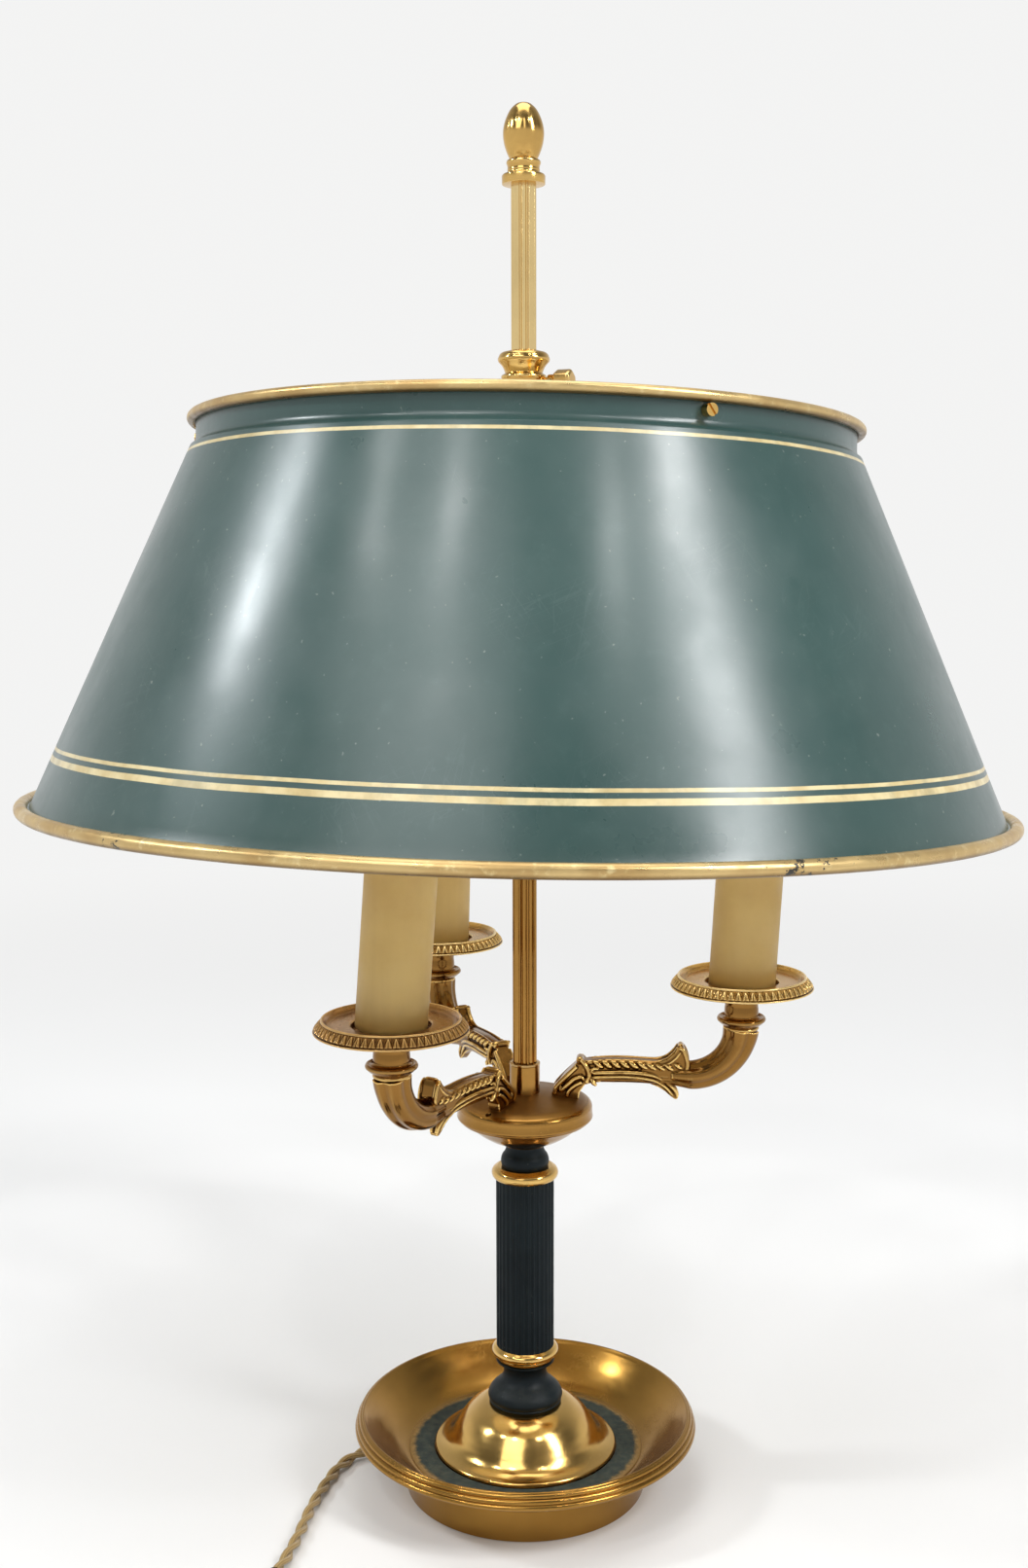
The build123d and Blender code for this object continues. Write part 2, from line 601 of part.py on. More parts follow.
def arm():
    """Cast arm along +X: a scrolled foot, a leaf-shaped bar with curled tips, and an elbow."""
    z = ARM_LEVEL
    root = ARM_FOOT_OUT
    tip = ELBOW_START - 2.6
    middle = between(root, tip, 0.35)
    side = outline(
        (ARM_FOOT_IN, HUB_TOP),
        (ARM_FOOT_IN - 0.6, HUB_TOP + 3.2),
        (root - 3.2, z + 6.8),
        ((root - 1.5, z + 7.6), (root + 1.0, z + 5.0)),
        (root + 3.5, z + 4.2),
        ((middle + 2.0, z + 6.8), (tip - 8.4, z + 6.5)),
        ((tip - 4.4, z + 8.6), (tip - 2.2, z + 12.4)),
        ((tip + 0.4, z + 10.4), (tip, z + 5.6)),
        (tip, z - 6.0),
        ((tip - 1.6, z - 9.2), (tip - 3.8, z - 9.6)),
        ((tip - 7.0, z - 5.6), (tip - 14.4, z - 5.2)),
        ((middle - 2.0, z - 4.2), (root + 1.1, z - 8.6)),
        (root - 0.3, HUB_TOP),
    )
    leaf = Pos(0, ARM_WIDTH / 2, 0) * extrude(side, ARM_WIDTH, dir=(0, -1, 0))
    low = (ARM_WIRE_AT, 0, ARM_KNEE_LOW)
    knee = (ARM_KNEE_OUT, 0, z)
    channel = bar((ARM_WIRE_AT, 0, HUB_TOP - CUT), low, WIRE_HOLE_R) + Pos(*low) * Sphere(WIRE_HOLE_R)
    channel += bar(low, knee, WIRE_HOLE_R) + Pos(*knee) * Sphere(WIRE_HOLE_R)
    channel += bar(knee, (ELBOW_START, 0, z), WIRE_HOLE_R) + elbow(WIRE_HOLE_R)
    channel += Pos(ARM_REACH, 0, 0) * rod(NIPPLE_R, ELBOW_TOP - NIPPLE_DEPTH, ELBOW_TOP + CUT)
    channel += Pos(ARM_SCREW_AT, 0, 0) * rod(ARM_SCREW_R, HUB_TOP - CUT, HUB_TOP + ARM_SCREW_BITE)
    return leaf + elbow(ELBOW_R) - channel


def candle_cup():
    """Turned cup between the elbow and the drip pan."""
    lip = ELBOW_TOP + 4.6
    bore = NIPPLE_R + LOOSE_FIT
    return turned(
        (bore, ELBOW_TOP),
        (ELBOW_R + 0.2, ELBOW_TOP),
        ((ELBOW_R + 0.9, ELBOW_TOP + 0.9), (ELBOW_R + 0.2, ELBOW_TOP + 1.8)),
        ((CUP_LIP_R - 1.2, ELBOW_TOP + 2.6), (CUP_LIP_R, lip)),
        ((CUP_LIP_R - 0.4, lip + 0.7), (CUP_LIP_R - 1.2, lip + 0.5)),
        ((NIPPLE_R + 3.0, lip + 1.6), (NIPPLE_R + 2.9, lip + 3.4)),
        ((NIPPLE_R + 3.5, PAN_SEAT - 2.6), (CUP_LIP_R + 0.9, PAN_SEAT)),
        (bore, PAN_SEAT),
    )


def drip_pan():
    """Drip pan: sloping border, shallow tray, and a recess for the sleeve."""
    tray = PAN_SEAT + PAN_TRAY
    top = PAN_SEAT + PAN_HEIGHT
    bore = NIPPLE_R + LOOSE_FIT
    recess = SLEEVE_R + PAN_RECESS
    return turned(
        (bore, PAN_SEAT),
        (CUP_LIP_R + 1.7, PAN_SEAT),
        ((between(CUP_LIP_R, PAN_R, 0.55), PAN_SEAT + 0.9), (PAN_R - 1.2, PAN_SEAT + 1.9)),
        (PAN_R, PAN_SEAT + 2.3),
        ((PAN_R - 1.1, PAN_SEAT + 4.6), (PAN_R - 3.4, top)),
        (PAN_R - 4.2, top),
        (PAN_R - 4.9, tray),
        (recess, tray),
        (recess, PAN_FLOOR_TOP),
        (bore, PAN_FLOOR_TOP),
    )


def leaning(shape, name):
    """Leans a piece about its foot in the drip pan's recess, towards +X, one edge on the floor."""
    lean = LEAN_DEG[name]
    lift = SLEEVE_R * math.sin(math.radians(lean)) + RUN_FIT
    return Pos(0, 0, PAN_FLOOR_TOP + lift) * Rot(0, lean, 0) * Pos(0, 0, -PAN_FLOOR_TOP) * shape


def strap_sides(bottom, top):
    """Both uprights of a strap between two heights."""
    size = (STRAP_WIDTH, STRAP_THICK, top - bottom)
    middle = (bottom + top) / 2
    return Pos(0, STRAP_AT, middle) * Box(*size) + Pos(0, -STRAP_AT, middle) * Box(*size)


def holder_strap(name):
    """Steel strap: a flat foot under the nipple's nut and two uprights to the lampholder."""
    foot = tube(HOLDER_R, NIPPLE_R + LOOSE_FIT, PAN_FLOOR_TOP, PAN_FLOOR_TOP + STRAP_THICK)
    foot &= Pos(0, 0, PAN_FLOOR_TOP) * Box(STRAP_WIDTH + 2.0, 4 * HOLDER_R, 4 * STRAP_THICK)
    bends = strap_sides(PAN_FLOOR_TOP, PAN_FLOOR_TOP + 2 * STRAP_THICK)
    return foot + bends + leaning(strap_sides(PAN_FLOOR_TOP, HOLDER_BOTTOM), name)


def lampholder():
    """Small Edison screw lampholder with an open mouth for the bulb's cap."""
    mouth = BULB_CAP_R + LOOSE_FIT
    return turned(
        (0, HOLDER_BOTTOM),
        (HOLDER_R - 0.8, HOLDER_BOTTOM),
        (HOLDER_R, HOLDER_BOTTOM + 1.2),
        (HOLDER_R, HOLDER_TOP - 1.0),
        (HOLDER_R - 1.0, HOLDER_TOP),
        (mouth, HOLDER_TOP),
        (mouth, HOLDER_TOP - BULB_CAP_LENGTH),
        (0, HOLDER_TOP - BULB_CAP_LENGTH),
    )


def bulb():
    """Candle bulb: screw cap and flame-shaped glass."""
    cap = HOLDER_TOP - BULB_CAP_LENGTH + SIDE_GAP
    glass = max(HOLDER_TOP, SLEEVE_TOP) + 0.4
    tip = glass + BULB_LENGTH
    return turned(
        (0, cap),
        (3.0, cap),
        (BULB_CAP_R, cap + 3.2),
        (BULB_CAP_R, HOLDER_TOP),
        (BULB_CAP_R + 1.0, glass),
        ((BULB_R - 1.6, between(glass, tip, 0.19)), (BULB_R, between(glass, tip, 0.37))),
        ((BULB_R - 4.6, between(glass, tip, 0.63)), (3.0, tip - 4.0)),
        ((1.6, tip - 1.2), (TIP_R, tip)),
        (0, tip),
    )


def at_candle(shape, index):
    """Moves a piece made on the Z axis to an arm's end, keeping its directions."""
    place = polar(ARM_REACH, ARM_FIRST_DEG + 360 / ARM_COUNT * index)
    return Pos(place.X, place.Y, 0) * shape


nut_bottom = PAN_FLOOR_TOP + STRAP_THICK
nipple_top = nut_bottom + NIPPLE_NUT_HEIGHT + 1.0
nipple = tube(NIPPLE_R, NIPPLE_R - NIPPLE_WALL, ELBOW_TOP - NIPPLE_DEPTH, nipple_top)
nipple_nut = hexagon(NIPPLE_NUT_WIDTH, nut_bottom, NIPPLE_NUT_HEIGHT, NIPPLE_R)
sleeve = tube(SLEEVE_R, SLEEVE_R - SLEEVE_WALL, PAN_FLOOR_TOP, SLEEVE_TOP)
for i, name in enumerate(ARM_NAMES):
    parts["arm_" + name] = around(arm(), ARM_FIRST_DEG + 360 / ARM_COUNT * i)
    parts["candle_cup_" + name] = at_candle(candle_cup(), i)
    parts["drip_pan_" + name] = at_candle(drip_pan(), i)
    parts["holder_strap_" + name] = at_candle(holder_strap(name), i)
    parts["lampholder_" + name] = at_candle(leaning(lampholder(), name), i)
    parts["candle_sleeve_" + name] = at_candle(leaning(sleeve, name), i)
    parts["bulb_" + name] = at_candle(leaning(bulb(), name), i)
parts["candle_nipples"] = Compound([at_candle(nipple, i) for i in range(ARM_COUNT)])
parts["nipple_nuts"] = Compound([at_candle(nipple_nut, i) for i in range(ARM_COUNT)])


# ---- shade, in its own frame: axis Z, lower lip at z 0 ---------------------------------------
def askew(shape):
    """From the shade's own frame to its place on the stem."""
    place = Pos(SHADE_SHIFT[0], SHADE_SHIFT[1], SPIDER_Z) * Rot(SHADE_TILT_X, SHADE_TILT_Y, 0)
    return place * Pos(0, 0, -SPIDER_ABOVE_LIP) * shape


def shade_shell():
    """Painted sheet-metal cone with a short upright neck and a turned-out lower lip."""
    w = SHADE_WALL
    lip = BOTTOM_BEAD_R
    cone_top = SHADE_HEIGHT - NECK_LENGTH
    shell = turned(
        (SHADE_BOTTOM_R - w, lip),
        (BOTTOM_BEAD_AT, lip),
        (BOTTOM_BEAD_AT, lip + w),
        (SHADE_BOTTOM_R, lip + w),
        (SHADE_NECK_R + NECK_STEP, cone_top),
        ((SHADE_NECK_R + 0.6, cone_top + 1.6), (SHADE_NECK_R, cone_top + 3.6)),
        (SHADE_NECK_R, SHADE_HEIGHT),
        (SHADE_INNER_R, SHADE_HEIGHT),
        (SHADE_INNER_R, cone_top + 3.3),
        ((SHADE_INNER_R + 0.6, cone_top + 1.3), (SHADE_INNER_R + NECK_STEP, cone_top - 0.4)),
    )
    start = (SHADE_INNER_R - CUT, 0, SHADE_SCREW_AT)
    end = (SHADE_NECK_R + CUT, 0, SHADE_SCREW_AT)
    for copy in ring_of(bar(start, end, SHADE_SCREW_R + LOOSE_FIT), ARM_COUNT, SHADE_SCREW_FIRST_DEG):
        shell -= copy
    return shell


def spider():
    """Hub plate, three bars and upright ears."""
    top = SPIDER_ABOVE_LIP + SPIDER_THICK / 2
    bottom = top - SPIDER_THICK
    ear_in = SHADE_INNER_R - EAR_THICK
    ear_low = SHADE_SCREW_AT - EAR_BELOW
    ear_high = SHADE_HEIGHT - TOP_BEAD_R - SIDE_GAP
    bend = SHADE_INNER_R - SPIDER_BEND_IN
    bore = SPIGOT_R + SPIDER_SLACK
    side = outline(
        (bore + CUT, bottom),
        (bend, bottom - SPIDER_DROP),
        (ear_in, ear_low),
        (SHADE_INNER_R, ear_low),
        (SHADE_INNER_R, ear_high),
        (ear_in, ear_high),
        (ear_in, ear_low + SPIDER_THICK + CUT),
        (bend, top - SPIDER_DROP),
        (bore + CUT, top),
    )
    leg = Pos(0, SPIDER_BAR / 2, 0) * extrude(side, SPIDER_BAR, dir=(0, -1, 0))
    leg &= rod(SHADE_INNER_R, 0, 2 * SHADE_HEIGHT)
    leg -= bar((bend, 0, SHADE_SCREW_AT), (SHADE_NECK_R, 0, SHADE_SCREW_AT), SHADE_SCREW_R)
    plate = tube(SPIDER_HUB_R, bore, bottom, top)
    for copy in ring_of(leg, ARM_COUNT, SHADE_SCREW_FIRST_DEG):
        plate += copy
    return plate


def bead(at, z, radius, first_deg, last_deg, *inner):
    """Round bead in short arcs about (at, z), closed by the corners where the sheet enters it."""

    def rim(share):
        angle = math.radians(between(first_deg, last_deg, share))
        return at + radius * math.cos(angle), z + radius * math.sin(angle)

    arcs = [(rim((i + 0.5) / BEAD_ARCS), rim((i + 1) / BEAD_ARCS)) for i in range(BEAD_ARCS)]
    return revolve(outline(rim(0), *arcs, *inner), Axis.Z, 360, clean=False)


def shade_top_bead():
    """Bead outside the end of the neck."""
    z = SHADE_HEIGHT
    meets_neck = math.degrees(math.acos(TOP_BEAD_OUT / TOP_BEAD_R))
    return bead(TOP_BEAD_AT, z, TOP_BEAD_R, 180, meets_neck - 180, (SHADE_NECK_R, z))


def shade_bottom_bead():
    """Bead round the edge of the turned-out lip."""
    z = BOTTOM_BEAD_R
    meets_lip = math.degrees(math.asin(SHADE_WALL / BOTTOM_BEAD_R))
    inner = ((BOTTOM_BEAD_AT, z + SHADE_WALL), (BOTTOM_BEAD_AT, z))
    return bead(BOTTOM_BEAD_AT, z, BOTTOM_BEAD_R, 180, 540 - meets_lip, *inner)


def shade_screws():
    """Slotted cheese-head screws through the shade's neck into the spider's ears."""
    seat = (SHADE_NECK_R + 0.1, 0, SHADE_SCREW_AT)
    end = (SHADE_NECK_R + 0.1 + SHADE_SCREW_HEAD, 0, SHADE_SCREW_AT)
    screw = bar((SHADE_INNER_R - EAR_THICK - 2.0, 0, SHADE_SCREW_AT), seat, SHADE_SCREW_R)
    screw += bar(seat, end, SHADE_SCREW_HEAD_R)
    slot = Pos(*end) * Rot(38, 0, 0) * Box(2.0, 0.8, 4 * SHADE_SCREW_HEAD_R)
    return Compound([askew(copy) for copy in ring_of(screw - slot, ARM_COUNT, SHADE_SCREW_FIRST_DEG)])


parts["shade_shell"] = askew(shade_shell())
parts["shade_top_bead"] = askew(shade_top_bead())
parts["shade_bottom_bead"] = askew(shade_bottom_bead())
parts["shade_spider"] = askew(spider())
parts["shade_screws"] = shade_screws()


# ---- sliding collar --------------------------------------------------------------------------
def collar():
    """Flared brass collar that slides on the stem; the spider sits on its threaded lower end."""
    bore = STEM_R + RUN_FIT
    shoulder = SPIDER_Z + SPIDER_THICK / 2 + SPIDER_PLAY
    shoulder_r = SPIGOT_R + SPIDER_SLACK + 1.9
    body = turned(
        (bore, SPIDER_Z - SPIGOT_BELOW_SPIDER),
        (SPIGOT_R, SPIDER_Z - SPIGOT_BELOW_SPIDER),
        (SPIGOT_R, shoulder),
        (shoulder_r, shoulder),
        (shoulder_r, shoulder + 1.6),
        (COLLAR_BODY_R, shoulder + 2.6),
        (COLLAR_BODY_R, COLLAR_TOP - 11.0),
        ((COLLAR_BODY_R + 0.5, COLLAR_TOP - 10.2), (COLLAR_BODY_R, COLLAR_TOP - 9.4)),
        (COLLAR_WAIST_R, COLLAR_TOP - 8.8),
        ((COLLAR_FLARE_R - 1.2, COLLAR_TOP - 5.8), (COLLAR_FLARE_R, COLLAR_TOP - 3.2)),
        ((COLLAR_FLARE_R - 0.6, COLLAR_TOP - 1.5), (COLLAR_FLARE_R - 2.6, COLLAR_TOP - 0.6)),
        (bore + 0.5, COLLAR_TOP),
        (bore, COLLAR_TOP - 0.4),
    )
    hole = bar((STEM_R - CUT, 0, KNOB_Z), (COLLAR_FLARE_R + CUT, 0, KNOB_Z), KNOB_SHANK_R)
    return body - around(hole, KNOB_DEG)


def collar_thumbscrew():
    """Thumbscrew with a six-sided head."""
    neck_start = COLLAR_BODY_R + 2.0
    head_start = COLLAR_BODY_R + 4.6
    shank = bar((STEM_R + SIDE_GAP, 0, KNOB_Z), (head_start, 0, KNOB_Z), KNOB_SHANK_R - RUN_FIT)
    neck = bar((neck_start, 0, KNOB_Z), (head_start, 0, KNOB_Z), KNOB_NECK_R)
    end = Plane(origin=(head_start, 0, KNOB_Z), x_dir=(0, 0, 1), z_dir=(1, 0, 0))
    head = extrude(end * RegularPolygon(KNOB_R, 6), KNOB_LENGTH)
    head = chamfer(head.faces().sort_by(Axis.X)[-1].edges(), KNOB_R / 6)
    return around(shank + neck + head, KNOB_DEG)


def collar_nut():
    """Hexagon nut under the spider."""
    top = SPIDER_Z - SPIDER_THICK / 2 - SPIDER_PLAY
    return hexagon(COLLAR_NUT_WIDTH, top - COLLAR_NUT_HEIGHT, COLLAR_NUT_HEIGHT, SPIGOT_R)


parts["shade_collar"] = collar()
parts["collar_nut"] = collar_nut()
parts["collar_thumbscrew"] = collar_thumbscrew()

# ---- cord, switch and plug -------------------------------------------------------------------
ON_FLOOR = CORD_R + RUN_FIT
CORD_START = polar(FOOT_INNER_R - 3.0, CORD_EXIT_DEG, CORD_EXIT_Z)
CORD_CLEAR = polar(FOOT_R + 5.0, CORD_EXIT_DEG, CORD_EXIT_Z)
SWITCH_END = SWITCH_SIZE[1] / 2 + COLLET
LEAD_POINTS = (
    (CORD_START.X, CORD_START.Y, CORD_START.Z),
    (CORD_CLEAR.X, CORD_CLEAR.Y, CORD_CLEAR.Z),
    (-64.0, 17.6, 4.9),
    (-73.2, 13.6, ON_FLOOR),
    (-78.9, 5.2, ON_FLOOR),
    (-82.1, -5.0, ON_FLOOR),
    (-85.2, -17.6, ON_FLOOR),
    (-87.7, -31.6, ON_FLOOR),
    (-89.3, -46.4, ON_FLOOR),
    (-91.6, -60.6, ON_FLOOR),
    (-94.2, -73.0, ON_FLOOR),
    (-96.0, -82.6, 3.6),
    (SWITCH_CENTRE[0], -91.4, SWITCH_CORD_Z),
    (SWITCH_CENTRE[0], SWITCH_CENTRE[1] + SWITCH_END, SWITCH_CORD_Z),
)
TAIL_POINTS = (
    (SWITCH_CENTRE[0], SWITCH_CENTRE[1] - SWITCH_END, SWITCH_CORD_Z),
    (SWITCH_CENTRE[0], -166.0, SWITCH_CORD_Z),
    (-93.8, -172.6, 4.2),
    (-88.7, -177.7, 2.9),
    (-82.1, -180.4, ON_FLOOR),
    (-70.0, -180.0, ON_FLOOR),
    (-58.6, -175.4, ON_FLOOR),
    (COIL_CENTRE[0] - 3.0, COIL_CENTRE[1] - COIL_R, ON_FLOOR),
)
PLUG_POINTS = (
    (COIL_CENTRE[0] + 8.0, COIL_CENTRE[1] - COIL_R, ON_FLOOR),
    (-26.0, -172.4, ON_FLOOR),
    (-14.8, -174.6, ON_FLOOR),
    (-4.6, -172.6, 4.4),
    (4.2, PLUG_START[1], PLUG_SIZE[2] / 2),
    (PLUG_START[0], PLUG_START[1], PLUG_SIZE[2] / 2),
)


def cord_tube(points):
    """Straight runs joined by the largest tangent arcs that they allow."""
    corners = [Vector(*p) for p in points]
    radii = []
    for before, here, after in zip(corners, corners[1:], corners[2:]):
        turn = math.radians((here - before).get_angle(after - here))
        run = min((here - before).length, (after - here).length)
        radii.append(0.45 * run / math.tan(turn / 2))
    return swept_wire(corners, radii, CORD_R)


def cord_bushing():
    """Turned bushing in the foot ring, for the cord."""
    bore = CORD_R + RUN_FIT
    flange_start = FOOT_R - FOOT_INNER_R + SIDE_GAP
    body = tube(BUSH_R, bore, 0, flange_start)
    body += tube(BUSH_R + BUSH_FLANGE, bore, flange_start, FOOT_WALL + BUSH_OUT)
    seat = Plane(origin=(FOOT_INNER_R, 0, CORD_EXIT_Z), z_dir=(1, 0, 0))
    return around(seat * body, CORD_EXIT_DEG)


def cord_switch():
    """Inline switch case, rounded, with a window for the rocker and a collar at each end."""
    wide, long, high = SWITCH_SIZE
    case = Pos(0, 0, high / 2) * Box(wide, long, high)
    case = fillet(case.edges().filter_by(Axis.Z), wide / 3)
    case = fillet(case.faces().sort_by(Axis.Z)[-1].edges(), wide / 8)
    for side in (-1, 1):
        end = (0, side * (long / 2 + COLLET), SWITCH_CORD_Z)
        case += bar((0, side * (long / 2 - CUT), SWITCH_CORD_Z), end, CORD_R + BUSH_WALL)
    well = Box(ROCKER_SIZE[0] + 2 * SIDE_GAP, ROCKER_SIZE[1] + 2 * SIDE_GAP, 2 * ROCKER_WELL)
    reach = ROCKER_SIZE[0] / 2 + ROCKER_PIN_OUT + SIDE_GAP
    pivot = high - ROCKER_PIVOT_BELOW
    case -= bar((-reach, 0, pivot), (reach, 0, pivot), ROCKER_PIN_R + RUN_FIT)
    return Pos(*SWITCH_CENTRE, 0) * (case - Pos(0, 0, high) * well)


def switch_rocker():
    """Rocker pressed down at one end; it swings on two pins along X, through its own origin."""
    wide, long, high = ROCKER_SIZE
    half = long / 2
    foot = 0.8 * half
    crown = ((0, 0.6 * high), (-half, 0.45 * high))
    side = outline((-foot, -0.5 * high), (foot, -0.5 * high), (half, 0.45 * high), crown)
    rocker = Pos(0, wide / 2, 0) * extrude(side, wide, dir=(0, -1, 0))
    reach = wide / 2 + ROCKER_PIN_OUT
    rocker += bar((0, -reach, 0), (0, reach, 0), ROCKER_PIN_R)
    pivot = Pos(*SWITCH_CENTRE, SWITCH_SIZE[2] - ROCKER_PIVOT_BELOW)
    return pivot * Rot(ROCKER_TILT, 0, 0) * Rot(0, 0, 90) * rocker


def cord_coil():
    """Outer shape of the wound cord: a ring lying flat."""
    half = COIL_BUNDLE / 2
    ring = Pos(*COIL_CENTRE, 0) * tube(COIL_R + half, COIL_R - half, RUN_FIT, COIL_BUNDLE)
    return fillet(ring.edges().filter_by(GeomType.CIRCLE), half / 2)


def plug_body():
    """Flat two-pin plug, pins towards +X."""
    long, wide, high = PLUG_SIZE
    body = Pos(long / 2 + CUT / 2, 0, high / 2) * Box(long - CUT, wide, high)
    body = fillet(body.edges().filter_by(Axis.Z), wide / 5)
    body = fillet(body.faces().sort_by(Axis.Z)[-1].edges(), high / 5)
    body += bar((0, 0, high / 2), (2 * COLLET, 0, high / 2), CORD_R + BUSH_WALL)
    return Pos(*PLUG_START, 0) * body


def plug_pins():
    long, _, high = PLUG_SIZE
    pins = []
    for side in (-1, 1):
        start = (PLUG_START[0] + long, PLUG_START[1] + side * PIN_SPACING / 2, high / 2)
        end = (start[0] + PIN_LENGTH, start[1], start[2])
        pins.append(bar(start, end, PIN_R))
    return Compound(pins)


coil = cord_coil()
tubes = [cord_tube(LEAD_POINTS), cord_tube(TAIL_POINTS) - coil, cord_tube(PLUG_POINTS) - coil]
parts["cord_bushing"] = cord_bushing()
parts["cord"] = Compound(tubes)
parts["cord_coil"] = coil
parts["cord_switch"] = cord_switch()
parts["switch_rocker"] = switch_rocker()
parts["plug_body"] = plug_body()
parts["plug_pins"] = plug_pins()

for node, shape in parts.items():
    shape.label = node
    export_step(shape, "parts/" + node + ".step")
print(len(parts), "nodes")
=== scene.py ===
"""A three-light bouillotte lamp: turned and cast brass, a painted sheet-metal shade, card sleeves and a cloth cord.

Lengths are in millimetres. Only the studio, the cord's finished line and numbers inside materials are in metres.
Outlines of turned pieces are (radius, height) points.
"""
import cmath
import math

import bmesh
import bpy
import numpy as np
from mathutils import Matrix, Vector


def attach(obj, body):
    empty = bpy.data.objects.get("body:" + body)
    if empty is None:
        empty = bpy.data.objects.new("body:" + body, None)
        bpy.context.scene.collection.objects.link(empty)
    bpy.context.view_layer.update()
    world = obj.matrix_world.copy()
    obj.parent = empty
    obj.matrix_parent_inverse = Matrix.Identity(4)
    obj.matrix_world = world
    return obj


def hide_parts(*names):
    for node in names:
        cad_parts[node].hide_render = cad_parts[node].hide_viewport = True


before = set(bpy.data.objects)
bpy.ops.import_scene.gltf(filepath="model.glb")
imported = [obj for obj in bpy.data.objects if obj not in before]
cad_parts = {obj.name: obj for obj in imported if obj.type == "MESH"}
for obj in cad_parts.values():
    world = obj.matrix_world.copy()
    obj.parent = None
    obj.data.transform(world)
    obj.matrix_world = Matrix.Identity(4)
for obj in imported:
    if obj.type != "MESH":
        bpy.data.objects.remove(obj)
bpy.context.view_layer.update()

MM = 0.001
TURN = 2 * math.pi

# Heights up the lamp
DISH_FLOOR = 15.5
DOME_TOP = 35.2
LOWER_RING = 53.2
COLUMN_FOOT, COLUMN_TOP = 59.6, 131.6
SPOOL_FOOT = 137
BOWL_FOOT = 146.2
CAP_FOOT = 157.5
HUB_TOP = 165.8
STEM_TOP = 528.5
ACORN_SEAT = 537.9
ELBOW_TOP = 196
PAN_SEAT = 211.8
PAN_FLOOR = 213.6
SLEEVE_TOP = 298.6
COLLAR_TOP = 466
SPIDER_LEVEL = 440
KNOB_LEVEL = 453.4

# Radii
BORE = 4.2
RING_R = 13.8
COLUMN_R = 12
STEM_R = 5
ARM_REACH = 88
SLEEVE_R = 13.5
SHADE_R = 188.2
NECK_R = 127.7

ARM_AZIMUTHS = {"right": -3.85, "rear": 116.15, "left": 236.15}
CANDLE_LEANS = {"right": 3.2, "rear": 1.7, "left": 4.2}
COLUMN_FLUTES = 32
STEM_FLUTES = 12
PAN_LEAVES = 60
SHADE_SIDES = 320
# Degrees above which an edge looks sharp
SHARP = 38


# ---- outlines ----
def arc(start, middle, end, count=9):
    """Points after start on the circle through the three points, up to end."""
    a, b, c = complex(*start), complex(*middle), complex(*end)
    w = (c - a) / (b - a)
    centre = a + (b - a) * (w - abs(w) ** 2) / (2j * w.imag)
    first, between, last = (cmath.phase(p - centre) for p in (a, b, c))
    sweep = (last - first) % TURN
    if (between - first) % TURN > sweep:
        sweep -= TURN
    swept = [centre + (a - centre) * cmath.exp(1j * sweep * i / count) for i in range(1, count + 1)]
    return [(p.real, p.imag) for p in swept]


def flowing(knots, per_span=6):
    """Smooth line through knots of any dimension."""
    k = np.array(knots, float)
    k = np.vstack([2 * k[0] - k[1], k, 2 * k[-1] - k[-2]])
    made = []
    for a, b, c, d in zip(k, k[1:], k[2:], k[3:]):
        for t in np.arange(per_span) / per_span:
            bent = (2 * a - 5 * b + 4 * c - d) * t**2 + (3 * b - a - 3 * c + d) * t**3
            made.append(0.5 * (2 * b + (c - a) * t + bent))
    made.append(k[-2])
    return [tuple(p) for p in made]


def outline(start, *steps):
    """A step is the end of a line, the middle and end of an arc, or a list of knots of a smooth line."""
    points = [start]
    for step in steps:
        if isinstance(step, list):
            points += flowing([points[-1], *step])[1:]
        elif isinstance(step[0], tuple):
            points += arc(points[-1], *step)
        else:
            points.append(step)
    return points


def straight(start, end, shares):
    return [tuple(a + (b - a) * t for a, b in zip(start, end)) for t in shares]


def eased(points, radius, sharpest=0.4):
    """Breaks the corners of a closed outline, as a turner's file does."""
    made = []
    for i, here in enumerate(points):
        u = np.subtract(here, points[i - 1])
        v = np.subtract(points[(i + 1) % len(points)], here)
        long_u, long_v = np.linalg.norm(u), np.linalg.norm(v)
        turn = math.acos(np.clip(u @ v / (long_u * long_v), -1, 1))
        if turn < sharpest or here[0] < 1e-6:
            made.append(here)
            continue
        cut = min(radius * math.tan(min(turn, 2.6) / 2), 0.4 * long_u, 0.4 * long_v)
        start, end = here - u * cut / long_u, here + v * cut / long_v
        for t in (0, 0.3, 0.7, 1):
            made.append(tuple((1 - t) ** 2 * start + 2 * t * (1 - t) * np.array(here) + t**2 * end))
    return made


# ---- meshes ----
def turn_z(degrees):
    return Matrix.Rotation(math.radians(degrees), 4, "Z")


def shift(x=0, y=0, z=0):
    return Matrix.Translation((x, y, z))


def linked(name, data):
    made = bpy.data.objects.new(name, data)
    bpy.context.scene.collection.objects.link(made)
    return made


def mended(mesh, weld=None):
    """Turns all faces outwards. weld is the distance within which points become one."""
    work = bmesh.new()
    work.from_mesh(mesh)
    if weld:
        bmesh.ops.remove_doubles(work, verts=work.verts, dist=weld)
        bmesh.ops.dissolve_degenerate(work, edges=work.edges, dist=weld / 10)
    bmesh.ops.recalc_face_normals(work, faces=work.faces)
    work.to_mesh(mesh)
    work.free()


def modified(thing):
    """A new mesh of a thing with its modifiers applied."""
    bpy.context.view_layer.update()
    return bpy.data.meshes.new_from_object(thing.evaluated_get(bpy.context.evaluated_depsgraph_get()))


def read(items, key, width=3, kind=np.float32):
    """One row of numbers for each of a mesh's points or edges."""
    values = np.zeros(len(items) * width, kind)
    items.foreach_get(key, values)
    return values.reshape(-1, width)


